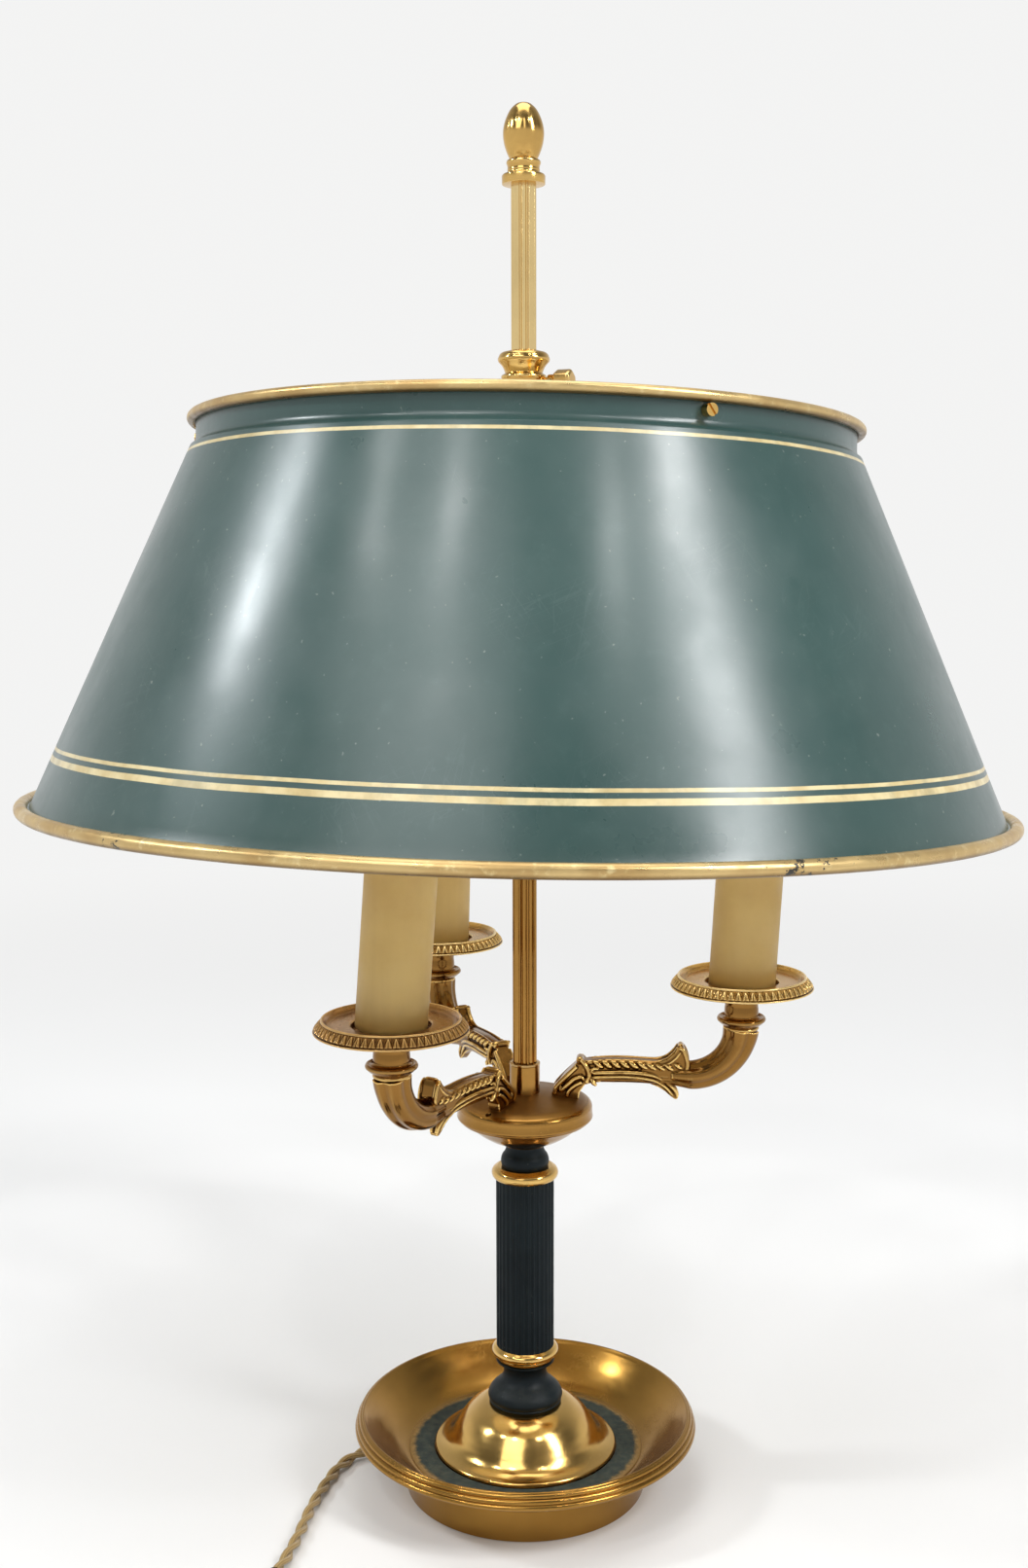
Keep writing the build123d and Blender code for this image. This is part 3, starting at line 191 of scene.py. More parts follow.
def mark(mesh, name, values):
    """Writes a float attribute by point."""
    values = np.asarray(values, np.float32).ravel()
    mesh.attributes.new(name, "FLOAT", "POINT").data.foreach_set("value", values)


def mark_relief(mesh, rounds=2):
    """Writes the float attribute relief: positive in hollows, negative on crests, about -1 to 1."""
    co = read(mesh.vertices, "co")
    a, b = read(mesh.edges, "vertices", 2, np.int32).T
    degree = np.maximum(np.bincount(np.r_[a, b], minlength=len(co)), 1)[:, None]

    def around(at_b, at_a):
        total = np.zeros((len(co), at_a.shape[1]), at_a.dtype)
        np.add.at(total, a, at_b)
        np.add.at(total, b, at_a)
        return total / degree

    spacing = np.linalg.norm(co[a] - co[b], axis=1)[:, None].astype(float)
    reach = np.maximum(around(spacing, spacing), 1e-9)
    bend = ((around(co[b], co[a]) - co) * read(mesh.vertices, "normal")).sum(1, keepdims=True) / reach**2
    for _ in range(rounds):
        bend = 0.5 * bend + 0.5 * around(bend[b], bend[a])
    mark(mesh, "relief", np.tanh(bend * 0.8 * MM))


def piece(
    name, points, faces, material, body, slot, replaces=(), place=Matrix(), sharp=SHARP, marks=None, lining=None,
    lined=None,
):
    """A shown mesh on a CAD body. marks are float attributes by point. lining is a second material, for the faces
    where lined is 1."""
    m = np.array(place)
    mesh = bpy.data.meshes.new(name)
    mesh.from_pydata(((np.asarray(points, float) @ m[:3, :3].T + m[:3, 3]) * MM).tolist(), [], faces)
    for key, values in (marks or {}).items():
        mark(mesh, key, values)
    mesh.materials.append(material)
    if lining:
        mesh.materials.append(lining)
        mesh.polygons.foreach_set("material_index", np.asarray(lined, np.int32))
    mended(mesh, 1e-7)
    mesh.polygons.foreach_set("use_smooth", [True] * len(mesh.polygons))
    mesh.set_sharp_from_angle(angle=math.radians(sharp))
    mark_relief(mesh)
    made = linked(name, mesh)
    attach(made, body)
    if replaces:
        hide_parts(*([replaces] if isinstance(replaces, str) else replaces))
    return made


def ring_faces(rows, sides, closed_rows=True):
    i = np.arange(rows if closed_rows else rows - 1)[:, None]
    j = np.arange(sides)[None, :]
    i2, j2 = (i + 1) % rows, (j + 1) % sides
    quads = np.stack([i * sides + j, i * sides + j2, i2 * sides + j2, i2 * sides + j], -1)
    return quads.reshape(-1, 4).tolist()


def spun_points(points, sides, form=None):
    """Points of a turned surface. form moves (radius, height) by angle, for flutes and chasing."""
    radius, height = (np.repeat(column[:, None], sides, 1) for column in np.array(points, float).T)
    angle = np.broadcast_to(np.arange(sides) / sides * TURN, radius.shape)
    if form:
        radius, height = form(radius, height, angle)
    return np.stack([radius * np.cos(angle), radius * np.sin(angle), height], -1).reshape(-1, 3)


def spun(name, points, material, body, slot, replaces, sides, form=None, **more):
    return piece(
        name, spun_points(points, sides, form), ring_faces(len(points), sides), material, body, slot, replaces, **more
    )


def turned(name, node, finish, ease, sides, *steps, body="stand", slot="polished_brass", **more):
    """A turned piece from the steps of its outline, with its corners eased."""
    return spun(name, eased(outline(*steps), ease), finish, body, slot, node, sides, **more)


def ways(path):
    """Unit directions along a path."""
    forward = np.gradient(path, axis=0)
    return forward / np.linalg.norm(forward, axis=1, keepdims=True)


def lofted(path, sections, across=(0, 1, 0)):
    """Closed surface along path, with filled ends. sections[i] are (sideways, upward) points, and sideways stays as
    near to across as it can."""
    path, sections = np.asarray(path, float), np.asarray(sections, float)
    forward = ways(path)
    side = across - forward * (forward @ across)[:, None]
    side /= np.linalg.norm(side, axis=1, keepdims=True)
    above = np.cross(forward, side)
    points = path[:, None] + side[:, None] * sections[:, :, :1] + above[:, None] * sections[:, :, 1:]
    return points.reshape(-1, 3), capped_faces(*sections.shape[:2])


def capped_faces(rows, sides):
    ends = [list(range(sides))[::-1], list(range((rows - 1) * sides, rows * sides))]
    return ring_faces(rows, sides, closed_rows=False) + ends


def rounded_section(across, above, sides=40, power=2.5, form=None):
    """Superellipse; form(angle) scales its radius."""
    t = np.arange(sides) / sides * TURN
    scale = form(t) if form else 1
    c, s = np.cos(t), np.sin(t)
    x = across * np.sign(c) * np.abs(c) ** (2 / power) * scale
    y = above * np.sign(s) * np.abs(s) ** (2 / power) * scale
    return np.stack([x, y], -1)


def tube_along(path, radii, sides=16, across=(0, 1, 0)):
    radii = np.broadcast_to(radii, len(path))
    return lofted(path, [rounded_section(r, r, sides, 2) for r in radii], across)


def joined(parts):
    """One list of points and one of faces from several."""
    points, faces, start = [], [], 0
    for p, f in parts:
        points.append(np.asarray(p, float))
        faces += [[v + start for v in face] for face in f]
        start += len(p)
    return np.vstack(points), faces


def cast_together(name, parts, voxel, smoothing):
    """Melts overlapping parts into one skin, as a casting has, and returns its points and faces."""
    points, faces = joined(parts)
    mesh = bpy.data.meshes.new(name)
    mesh.from_pydata(points.tolist(), [], faces)
    mended(mesh)
    rough = linked(name, mesh)
    remesh = rough.modifiers.new("skin", "REMESH")
    remesh.mode, remesh.voxel_size = "VOXEL", voxel
    smooth = rough.modifiers.new("fettling", "SMOOTH")
    smooth.iterations, smooth.factor = smoothing, 0.5
    skin = modified(rough)
    bpy.data.objects.remove(rough)
    made = read(skin.vertices, "co").astype(float), [list(face.vertices) for face in skin.polygons]
    bpy.data.meshes.remove(skin)
    return made


# ---- material building ----
def colour(red, green, blue):
    """A colour written as it looks on a screen, 0 to 255, as linear values."""
    shares = [c / 255 for c in (red, green, blue)]
    return (*(c / 12.92 if c <= 0.04045 else ((c + 0.055) / 1.055) ** 2.4 for c in shares), 1)


class Value:
    """What a shader node gives. Arithmetic on it makes further nodes."""

    def __init__(self, n, socket):
        self.n, self.socket = n, socket

    def __add__(self, other):
        return self.n.maths("ADD", self, other)

    def __sub__(self, other):
        return self.n.maths("SUBTRACT", self, other)

    def __mul__(self, other):
        return self.n.maths("MULTIPLY", self, other)

    def __abs__(self):
        return self.n.maths("ABSOLUTE", self)

    def ranged(self, low, high, to_low=0, to_high=1):
        """Goes smoothly from to_low, where the value is low, to to_high, where it is high."""
        feeds = {"Value": self, "From Min": low, "From Max": high, "To Min": to_low, "To Max": to_high}
        return self.n.add("MapRange", feeds, interpolation_type="SMOOTHSTEP")

    def mixed(self, first, second):
        """The first colour where the value is 0, the second where it is 1."""
        first, second = (colour(*c) if isinstance(c, tuple) and len(c) == 3 else c for c in (first, second))
        return self.n.add("Mix", {0: self, 6: first, 7: second}, 2, data_type="RGBA")


class Nodes:
    """Short words for making and joining shader nodes in one tree."""

    def __init__(self, tree):
        self.tree = tree

    def add(self, kind, feeds=(), output=0, **settings):
        """Makes a node and returns one of its outputs."""
        node = self.tree.nodes.new("ShaderNode" + kind)
        for key, value in settings.items():
            setattr(node, key, value)
        for key, value in dict(feeds).items():
            self.feed(node.inputs[key], value)
        return Value(self, node.outputs[output])

    def feed(self, socket, value):
        if isinstance(value, Value):
            self.tree.links.new(value.socket, socket)
        else:
            socket.default_value = value

    def maths(self, operation, a, b=0, clamp=False):
        return self.add("Math", {0: a, 1: b}, operation=operation, use_clamp=clamp)

    def noise(self, scale, detail=4, roughness=0.55, stretch=None, where=None):
        where = where or self.where()
        if stretch:
            where = self.add("Mapping", {"Vector": where, "Scale": stretch})
        return self.add("TexNoise", {"Vector": where, "Scale": scale, "Detail": detail, "Roughness": roughness})

    def mark(self, name):
        return self.add("Attribute", (), "Fac", attribute_name=name, attribute_type="GEOMETRY")

    def where(self):
        return self.add("TexCoord", (), "Object")

    def upwards(self, vector):
        """A vector's share along Z."""
        return self.add("SeparateXYZ", {0: vector}, "Z")

    def facing(self):
        """1 on faces that look up, -1 on those that look down."""
        return self.upwards(self.add("NewGeometry", (), "Normal"))

    def shared(self, tree, *values):
        """Feeds a node group's inputs in order and returns its outputs."""
        node = self.tree.nodes.new("ShaderNodeGroup")
        node.node_tree = tree
        for socket, value in zip(node.inputs, values):
            self.feed(socket, value)
        return [Value(self, output) for output in node.outputs]


COLOUR_SOCKETS = "Bright", "Aged", "Rubbed", "Colour"


def group(name, inputs, outputs, build):
    """A node group with float or colour sockets. build(nodes, given) returns its outputs in order."""
    tree = bpy.data.node_groups.new(name, "ShaderNodeTree")
    for way, labels in (("INPUT", inputs), ("OUTPUT", outputs)):
        for label in labels:
            kind = "NodeSocketColor" if label in COLOUR_SOCKETS else "NodeSocketFloat"
            tree.interface.new_socket(label, in_out=way, socket_type=kind)
    n = Nodes(tree)
    source, result = tree.nodes.new("NodeGroupInput"), tree.nodes.new("NodeGroupOutput")
    given = {socket.name: Value(n, socket) for socket in source.outputs}
    for socket, value in zip(result.inputs, build(n, given)):
        n.feed(socket, value)
    return tree


def build_patina_and_painted_light(n, given):
    """Warm browning in clouds, tarnish and painted shade in hollows, rubbing and a painted highlight on crests,
    haze of handling, and a fine tooth.
    """
    relief = n.mark("relief")
    clouds = n.noise(22, 5).ranged(0.38, 0.72)
    # Hollows brown towards the darker colour: tarnish, and painted shade in the creases.
    sunk = relief.ranged(0.03, 0.45) * given["Hollows"]
    tone = n.maths("ADD", sunk, clouds * given["Clouds"], clamp=True)
    # Crests turn paler: rubbing, and a painted highlight.
    crests = relief.ranged(-0.04, -0.32) * 0.85
    haze = n.noise(90, 3, stretch=(1, 1, 3)).ranged(0.35, 0.7) * given["Haze"]
    pits = n.noise(420, 3).ranged(0.62, 0.8, 0, -1)
    return (
        crests.mixed(tone.mixed(given["Bright"], given["Aged"]), given["Rubbed"]),
        given["Polish"] + (haze + tone * given["Dulling"]),
        n.noise(1600, 2) * 0.35 + pits,
    )


PATINA_AND_PAINTED_LIGHT = group(
    "patina", ["Bright", "Aged", "Rubbed", "Clouds", "Hollows", "Polish", "Haze", "Dulling"],
    ["Colour", "Roughness", "Height"], build_patina_and_painted_light,
)


def build_dust(n, given):
    """Pale dust, thickest on faces that look up, and in specks."""
    drift = n.noise(given["Scale"], 5, 0.65).ranged(0.35, 0.75)
    film = n.facing().ranged(0.1, 0.95) * drift * given["Film"]
    dots = n.noise(given["Speck scale"], 1).ranged(0.74, 0.8) * given["Specks"]
    return [n.maths("ADD", film, dots, clamp=True)]


DUST = group("dust", ["Scale", "Film", "Speck scale", "Specks"], ["Amount"], build_dust)


def build_scuffs(n, given):
    """Thin hairline scratches that run several ways, gathered in patches."""
    lines = 0
    for turn, stretch in ((0.4, 14), (1.3, 11), (2.2, 17)):
        swung = n.add("VectorRotate", {"Vector": n.where(), "Angle": turn}, rotation_type="Y_AXIS")
        hair = n.noise(given["Scale"], 1, stretch=(1, 1, stretch), where=swung)
        lines = abs(hair - 0.5).ranged(0.012, 0.002) + lines
    patches = n.noise(30, 2).ranged(0.52, 0.68)
    return [n.maths("MULTIPLY", lines * patches, given["Strength"], clamp=True)]


SCUFFS = group("scuffs", ["Scale", "Strength"], ["Amount"], build_scuffs)


def material(name, recipe, strength=0, distance=0.0002, **plain):
    """A Principled material. recipe(nodes) gives its colour and roughness and, where it has them, the height of a
    bump with this strength and distance, and its metal. plain sets what doesn't vary."""
    made = bpy.data.materials.new(name)
    made.use_nodes = True
    shader = made.node_tree.nodes["Principled BSDF"]
    for label, value in plain.items():
        shader.inputs[label.replace("_", " ")].default_value = value
    n = Nodes(made.node_tree)
    feeds = dict(zip(("Base Color", "Roughness", "Normal", "Metallic"), recipe(n)))
    if "Normal" in feeds:
        feeds["Normal"] = n.add("Bump", {"Height": feeds["Normal"], "Strength": strength, "Distance": distance})
    for label, value in feeds.items():
        n.feed(shader.inputs[label], value)
    return made


def brass(name, bright, aged_and_shaded, rubbed_and_highlit, wear_and_shading, grain=0.12, lower=None, matt_top=0):
    """Old brass. The amounts after the three colours are clouds, hollows, polish, haze and dulling. lower is a darker
    bright colour below about 0.25 m, painted shade under the lamp's shade, and matt_top dulls what faces up and browns
    it as painted shade."""
    def recipe(n):
        # Below about 0.25 m the bright colour gives way to lower: painted shade under the lamp's shade.
        shown = n.upwards(n.where()).ranged(0.24, 0.46).mixed(lower, bright) if lower else colour(*bright)
        tone, rough, height = n.shared(PATINA_AND_PAINTED_LIGHT, shown, colour(*aged_and_shaded), colour(*rubbed_and_highlit), *wear_and_shading)
        scratched, = n.shared(SCUFFS, 110, 0.35)
        rough = rough + scratched * 0.2
        # What faces up is dulled, and browned as painted shade.
        if matt_top:
            rough = rough + n.facing().ranged(0.85, 0.97, 0, matt_top)
            tone = n.facing().ranged(0.85, 0.97, 0, 0.45).mixed(tone, aged_and_shaded)
        return tone, rough, height - scratched
    return material(name, recipe, grain, 0.00005, Metallic=1)


POLISHED = brass("polished brass", (218, 178, 104), (132, 88, 36), (240, 210, 144), (0.3, 0.95, 0.13, 0.07, 0.12))
SPUN_BRASS = brass("spun brass", (168, 127, 62), (104, 68, 24), (230, 196, 124), (0.35, 0.9, 0.18, 0.06, 0.12))
CAST_BRASS = brass("old cast brass", (136, 98, 49), (36, 15, 3), (246, 208, 130), (0.2, 1, 0.11, 0.06, 0.1), 0.08)
# Its lower colour is painted shade on the stem, ferrule and hub cup under the lamp's shade.
WARM_BRASS = brass(
    "warm brass", (229, 201, 142), (58, 34, 10), (250, 230, 178), (0.2, 1, 0.13, 0.06, 0.1), lower=(163, 121, 61)
)
# The hub's bright colour is the stem's darker lower colour, painted shade under the lamp's shade; its top is browned
# as painted shade too.
HUB_BRASS = brass("hub brass", (163, 121, 61), (84, 52, 18), (244, 218, 158), (0.3, 1, 0.14, 0.08, 0.1), matt_top=0.26)
# A darker, browner copy of the golden pan brass: painted shade on the left pan. It also lines the hub's hole.
SHADED_PAN_BRASS = brass("browned brass", (164, 121, 72), (52, 28, 12), (222, 184, 122), (0.4, 1, 0.24, 0.08, 0.16), 0.2)
GOLDEN_PAN = brass("golden pan brass", (204, 161, 92), (60, 34, 10), (248, 220, 156), (0.3, 1, 0.22, 0.07, 0.12), 0.15)


def green_enamel(n):
    """Teal-green stove enamel with hand-drawn gold lines, read from the height up the cone."""
    paint = n.noise(9).ranged(0.35, 0.7).mixed((42, 69, 66), (50, 77, 74))
    paint = (n.noise(130, 6, 0.7).ranged(0.5, 0.85) * 0.12).mixed(paint, (96, 120, 114))
    scratched, = n.shared(SCUFFS, 19, 0.5)
    paint = (scratched * 0.07).mixed(paint, (150, 168, 162))
    drawn = n.mark("height") + (n.noise(14, 2) - 0.5) * 0.7
    ragged = (n.noise(300, 3) - 0.5) * 0.12
    gold = 0
    for level, half in ((137, 0.62), (25.3, 0.62), (21.9, 1.05)):
        line = (abs(drawn - level) + ragged).ranged(half + 0.12, half - 0.12)
        gold = n.maths("MAXIMUM", gold, line)
    gold = gold * n.noise(55, 5, 0.7).ranged(0.7, 0.45, 0.72, 1)
    leaf = n.noise(80, 3).ranged(0.35, 0.7).mixed((216, 200, 152), (194, 172, 118))
    dusty, = n.shared(DUST, 40, 0.06, 520, 0.25)
    satin = n.noise(24, 5, 0.6).ranged(0.3, 0.75, 0.27, 0.4) + dusty * 0.25
    return dusty.mixed(gold.mixed(paint, leaf), (170, 176, 166)), satin, n.noise(380, 2) + gold * 0.5


def cream_paint(n):
    paint = n.noise(12).ranged(0.35, 0.7).mixed((236, 230, 212), (222, 210, 182))
    scorched = n.mark("height").ranged(90, 150, 0, 0.35)
    rough = n.noise(60, 3).ranged(0.3, 0.7, 0.45, 0.6)
    return scorched.mixed(paint, (190, 168, 126)), rough, n.noise(300, 3)


def edge_gold(n):
    """Gold paint over a rolled edge, painted shade in brown below, and chipped in the places marked worn."""
    paint = n.noise(45, 5).ranged(0.35, 0.7).mixed((206, 178, 122), (184, 152, 98))
    paint = n.noise(260).ranged(0.55, 0.75).mixed(paint, (222, 200, 146))
    # Brown on faces that look down: painted shade under the bead.
    paint = n.facing().ranged(-0.1, -0.8, 0, 0.75).mixed(paint, (84, 58, 24))
    chips = (n.noise(240, 4, 0.7) + n.mark("worn") * 0.22).ranged(0.73, 0.76)
    rough = n.noise(120).ranged(0.3, 0.7, 0.26, 0.42)
    height = n.noise(500, 3) * 0.5 - chips
    return chips.mixed(paint, (46, 44, 36)), rough, height, chips.ranged(0, 1, 0.75, 0.2)


def dark_green(n):
    relief = n.mark("relief")
    paint = n.noise(30).ranged(0.35, 0.7).mixed((10, 20, 24), (15, 27, 31))
    # Darker in hollows such as the flutes, as painted shade, and paler on crests, as a painted highlight.
    paint = relief.ranged(0.05, 0.6, 0, 0.6).mixed(paint, (7, 10, 12))
    paint = relief.ranged(-0.35, -0.9, 0, 0.2).mixed(paint, (54, 68, 66))
    dusty, = n.shared(DUST, 90, 0.08, 1100, 0.15)
    rough = n.noise(140).ranged(0.3, 0.7, 0.42, 0.54) + dusty * 0.4
    return dusty.mixed(paint, (132, 132, 118)), rough, n.noise(600, 3)


def dusty_ring(n):
    """Green paint under dust, bare towards the outside."""
    paint = n.noise(300, 5, 0.7).ranged(0.35, 0.7).mixed((22, 34, 32), (34, 46, 41))
    dusty, = n.shared(DUST, 260, 0.16, 1400, 0.6)
    straying = (n.noise(300, 5, 0.75) - 0.5) * 0.5
    bare = (n.mark("outwards") + straying).ranged(0.66, 0.98)
    tone = bare.mixed(dusty.mixed(paint, (120, 114, 84)), (176, 138, 76))
    return tone, bare.ranged(0, 1, 0.82, 0.3), n.noise(1500, 5, 0.7), bare


def ivory_card(n):
    share = n.mark("height")
    card = n.noise(26, 5).ranged(0.3, 0.75).mixed((206, 175, 107), (188, 153, 86))
    for over, amount in (
        ((168, 136, 80), n.noise(60, stretch=(1, 1, 0.06)).ranged(0.5, 0.75, 0, 0.3)),  # streaks
        ((150, 114, 60), share.ranged(0.72, 1, 0, 0.35)),  # darker towards the top
        ((110, 78, 36), share.ranged(0.035, 0, 0, 0.45)),  # painted shade at the foot, inside the pan's raised border
        ((96, 70, 36), n.noise(300, 2).ranged(0.79, 0.81, 0, 0.6)),  # specks
    ):
        card = amount.mixed(card, over)
    return card, n.noise(90).ranged(0.3, 0.7, 0.42, 0.58), n.noise(500, stretch=(1, 1, 0.25))


def cord_cloth(n):
    """Braided cloth: two colours of yarn crossing, from lengths along and around each strand."""
    along, around = n.mark("along") * 5.2, n.mark("around") * 4
    braid = n.maths("SINE", along + around) * n.maths("SINE", along - around)
    yarn = braid.ranged(-0.6, 0.6).mixed((120, 96, 48), (186, 154, 92))
    yarn = n.noise(60).ranged(0.35, 0.7, 0, 0.4).mixed(yarn, (150, 128, 84))
    return yarn, braid.ranged(-1, 1, 0.85, 0.6), braid + n.noise(3000, 3) * 0.4


def felt(n):
    wool = n.noise(900, 6, 0.75).ranged(0.35, 0.7).mixed((34, 74, 48), (60, 104, 72))
    worn = n.noise(60).ranged(0.5, 0.75, 0, 0.5).mixed(wool, (96, 110, 84))
    return worn, n.noise(300, 3).ranged(0.3, 0.7, 0.85, 1), n.noise(2600, 6, 0.8)


def clear_glass(n):
    return (0.97, 0.98, 0.97, 1), n.noise(120, 3).ranged(0.45, 0.75, 0.01, 0.06), n.noise(60, 2)


ENAMEL = material("green enamel", green_enamel, 0.09, Coat_Weight=0.25, Coat_Roughness=0.22)
CREAM = material("cream paint inside", cream_paint, 0.12)
EDGE_GOLD = material("gold edge paint", edge_gold, 0.3, 0.0001)
DARK_GREEN = material("dark green paint", dark_green, 0.12, 0.0001, Specular_IOR_Level=0.18)
DUSTY_RING = material("dusty green ring", dusty_ring, 0.7, 0.0003)
IVORY = material("ivory card", ivory_card, 0.15, Subsurface_Weight=0.12, Subsurface_Radius=(0.004, 0.003, 0.0015))
CLOTH = material("twisted cloth cord", cord_cloth, 0.6, 0.00015, Sheen_Weight=0.3, Sheen_Roughness=0.5)
FELT = material("green felt", felt, 0.8, 0.0005, Sheen_Weight=0.4)
GLASS = material("bulb glass", clear_glass, 0.05, 0.0003, Transmission_Weight=1, IOR=1.3)


def moulded(name, base, pale, rough=(0.22, 0.34), seam=None):
    """Glossy moulding with fine flow marks, and a mould seam at a height in metres."""
    def recipe(n):
        flow = n.noise(70, 5, stretch=(1, 0.4, 1.6)).ranged(0.4, 0.75, 0, 0.6)
        height = n.noise(900, 2)
        if seam is not None:
            height = height * 0.2 - abs(n.upwards(n.where()) - seam).ranged(0.0003, 0.0001)
        return flow.mixed(base, pale), n.noise(160).ranged(0.3, 0.7, *rough), height
    return material(name, recipe, 0.25, 0.0003)


def bare_metal(name, base, stain, rough, metallic=1, lines=(1, 1, 0.05)):
    """Plain machined metal with tool lines and stains."""
    def recipe(n):
        stained = n.noise(70, 5).ranged(0.4, 0.75, 0, 0.7)
        drawn = n.noise(900, 3, stretch=lines)
        return stained.mixed(base, stain), drawn.ranged(0.3, 0.7, rough - 0.07, rough + 0.09), drawn
    return material(name, recipe, 0.15, 0.0001, Metallic=metallic)


SWITCH_BROWN = moulded("brown switch moulding", (62, 38, 24), (84, 54, 34), seam=0.0085)
ROCKER_BROWN = moulded("brown rocker moulding", (84, 54, 34), (104, 70, 46))
BLACK_PHENOLIC = moulded("black phenolic", (26, 25, 24), (40, 38, 36), (0.3, 0.45))
WIRE_WHITE = moulded("pale wire insulation", (206, 202, 188), (188, 182, 162), (0.4, 0.55))
CAP_GLASS = moulded("bulb cap insulator", (24, 22, 26), (40, 38, 44), (0.1, 0.2))
STEEL = bare_metal("plated steel", (198, 198, 194), (150, 142, 124), 0.32)
BARS = bare_metal("brassed spider", (214, 178, 104), (140, 104, 54), 0.34)
PINS = bare_metal("plug pins", (214, 204, 176), (170, 150, 110), 0.24)
IRON = bare_metal("cast iron", (62, 60, 58), (86, 62, 44), 0.7, 0.4, (1, 1, 1))
CAP_METAL = bare_metal("bulb cap", (200, 190, 160), (150, 130, 90), 0.25)
TUNGSTEN = bare_metal("filament wire", (96, 94, 92), (70, 66, 62), 0.4)


# ---- base ----
turned(
    "reeded_dish", "base_dish", SPUN_BRASS, 0.3, 256,
    (BORE, 12.5), (47.4, 12.5), (47.4, 0), (50, 0), (50, 13.2),
    ((51.2, 15.2), (54, 16.4)), ((61.5, 19.2), (66.6, 24.2)), (70.3, 24.5),
    ((71.35, 25.6), (70.45, 26.75)), ((70.75, 27.8), (69.55, 28.75)), ((69.65, 29.85), (68.5, 30.5)),
    ((68, 30.85), (67.4, 30.55)), (66.5, 29.9),
    [(63.2, 26.6), (59, 22.2), (54.4, 18.2), (50.6, 16), (48.6, 15.5)],
    (BORE, DISH_FLOOR),
)
turned(
    "bell_dome", "base_dome", POLISHED, 0.2, 224,
    (36.4, 15.9), (37.75, 15.9), ((38, 16.7), (37.5, 17.5)),
    [(35.4, 18), (33.1, 19.2), (31.1, 21.2), (29.3, 23.9), (27.1, 27.2), (24.3, 30.6), (21, 33.2), (18, 34.7),
     (15.8, DOME_TOP)],
    (BORE, DOME_TOP), (BORE, 33.6), (17, 33.6),
    [(21, 31), (24, 28), (26, 24.6), (28, 21.2), (31, 18.4), (34.6, 16.6)],
)


def uneven(radius, height, angle):
    """The ring's paint is not quite level."""
    ripple = 0.05 * np.sin(5 * angle) + 0.04 * np.sin(11 * angle + 1)
    return radius, height + ripple * (height > DISH_FLOOR + 0.2)


RING_BORE, RING_EDGE, RING_SIDES = 38.15, 48.9, 160
ring_outline = [(RING_BORE, DISH_FLOOR), (RING_EDGE, DISH_FLOOR)] + [(r, 15.85) for r in np.linspace(48.7, 38.3, 12)]
outwards = [(r - RING_BORE) / (RING_EDGE - RING_BORE) for r, _ in ring_outline]
spun(
    "dusty_ring", ring_outline, DUSTY_RING, "stand", "well_paint", "well_ring", RING_SIDES, uneven,
    marks={"outwards": np.repeat(outwards, RING_SIDES)},
)


# ---- column and hub ----
def fluted(core, count, half_width, depth):
    """Round-bottomed flutes cut lengthwise."""
    def form(radius, height, angle):
        pitch = TURN * core / count
        off = ((angle * core / pitch + 0.5) % 1 - 0.5) * pitch
        cut = depth * np.sqrt(np.clip(1 - (off / half_width) ** 2, 0, 1))
        return radius - cut * (radius > core - 0.6), height
    return form


def shaft(radius, bore, bottom, top, steps):
    return [(bore, bottom)] + [(radius, z) for z in np.linspace(bottom, top, steps)] + [(bore, top)]


turned(
    "vase_foot", "column_foot", DARK_GREEN, 0.15, 128,
    (BORE, DOME_TOP), (14.6, DOME_TOP), ((15.1, 35.6), (14.75, 36.1)),
    [(15.4, 37.1), (15.5, 38.4), (14.6, 40.4), (12.7, 42.4), (10.8, 44), (9.6, 45.6), (9, 47.4), (9, 49.3),
     (9.6, 51), (10.9, 52.5)],
    (12.1, 52.7), (12.1, LOWER_RING), (BORE, LOWER_RING),
    slot="dark_green_paint",
)
turned(
    "lower_bead", "lower_ring", POLISHED, 0.12, 128,
    (BORE, LOWER_RING), (10.8, LOWER_RING), ((11.6, 53.8), (11.9, 55.2)), ((RING_R, 57.3), (12.3, 59.3)),
    (12, COLUMN_FOOT), (BORE, COLUMN_FOOT),
)
spun(
    "fluted_column", shaft(COLUMN_R, BORE, COLUMN_FOOT, COLUMN_TOP, 16), DARK_GREEN, "stand", "dark_green_paint",
    "column", COLUMN_FLUTES * 16, fluted(COLUMN_R, COLUMN_FLUTES, 0.86, 0.5), sharp=50,
)
turned(
    "upper_bead", "upper_ring", POLISHED, 0.15, 128,
    (BORE, COLUMN_TOP), (11.9, COLUMN_TOP), ((RING_R, 134.2), (12.2, 136.4)), (11.2, SPOOL_FOOT), (BORE, SPOOL_FOOT),
)
turned(
    "neck_spool", "spool", DARK_GREEN, 0.15, 112,
    (BORE, SPOOL_FOOT), (9.5, SPOOL_FOOT),
    [(9.95, 139), (9.5, 141.2), (8.3, 143), (7.7, 144.8), (7.7, BOWL_FOOT)],
    (BORE, BOWL_FOOT),
    slot="dark_green_paint",
)
turned(
    "hub_cup", "hub_bowl", WARM_BRASS, 0.15, 192,
    (BORE, BOWL_FOOT), (8.9, BOWL_FOOT), ((9.6, 147), (10.4, 147.4)),
    [(14.5, 148.9), (19, 151.6), (22.8, 154.6), (24.9, 156.2)],
    ((26.3, 156.5), (26.9, 157.5)), (24, CAP_FOOT), (12, 149.6), (BORE, 149),
)
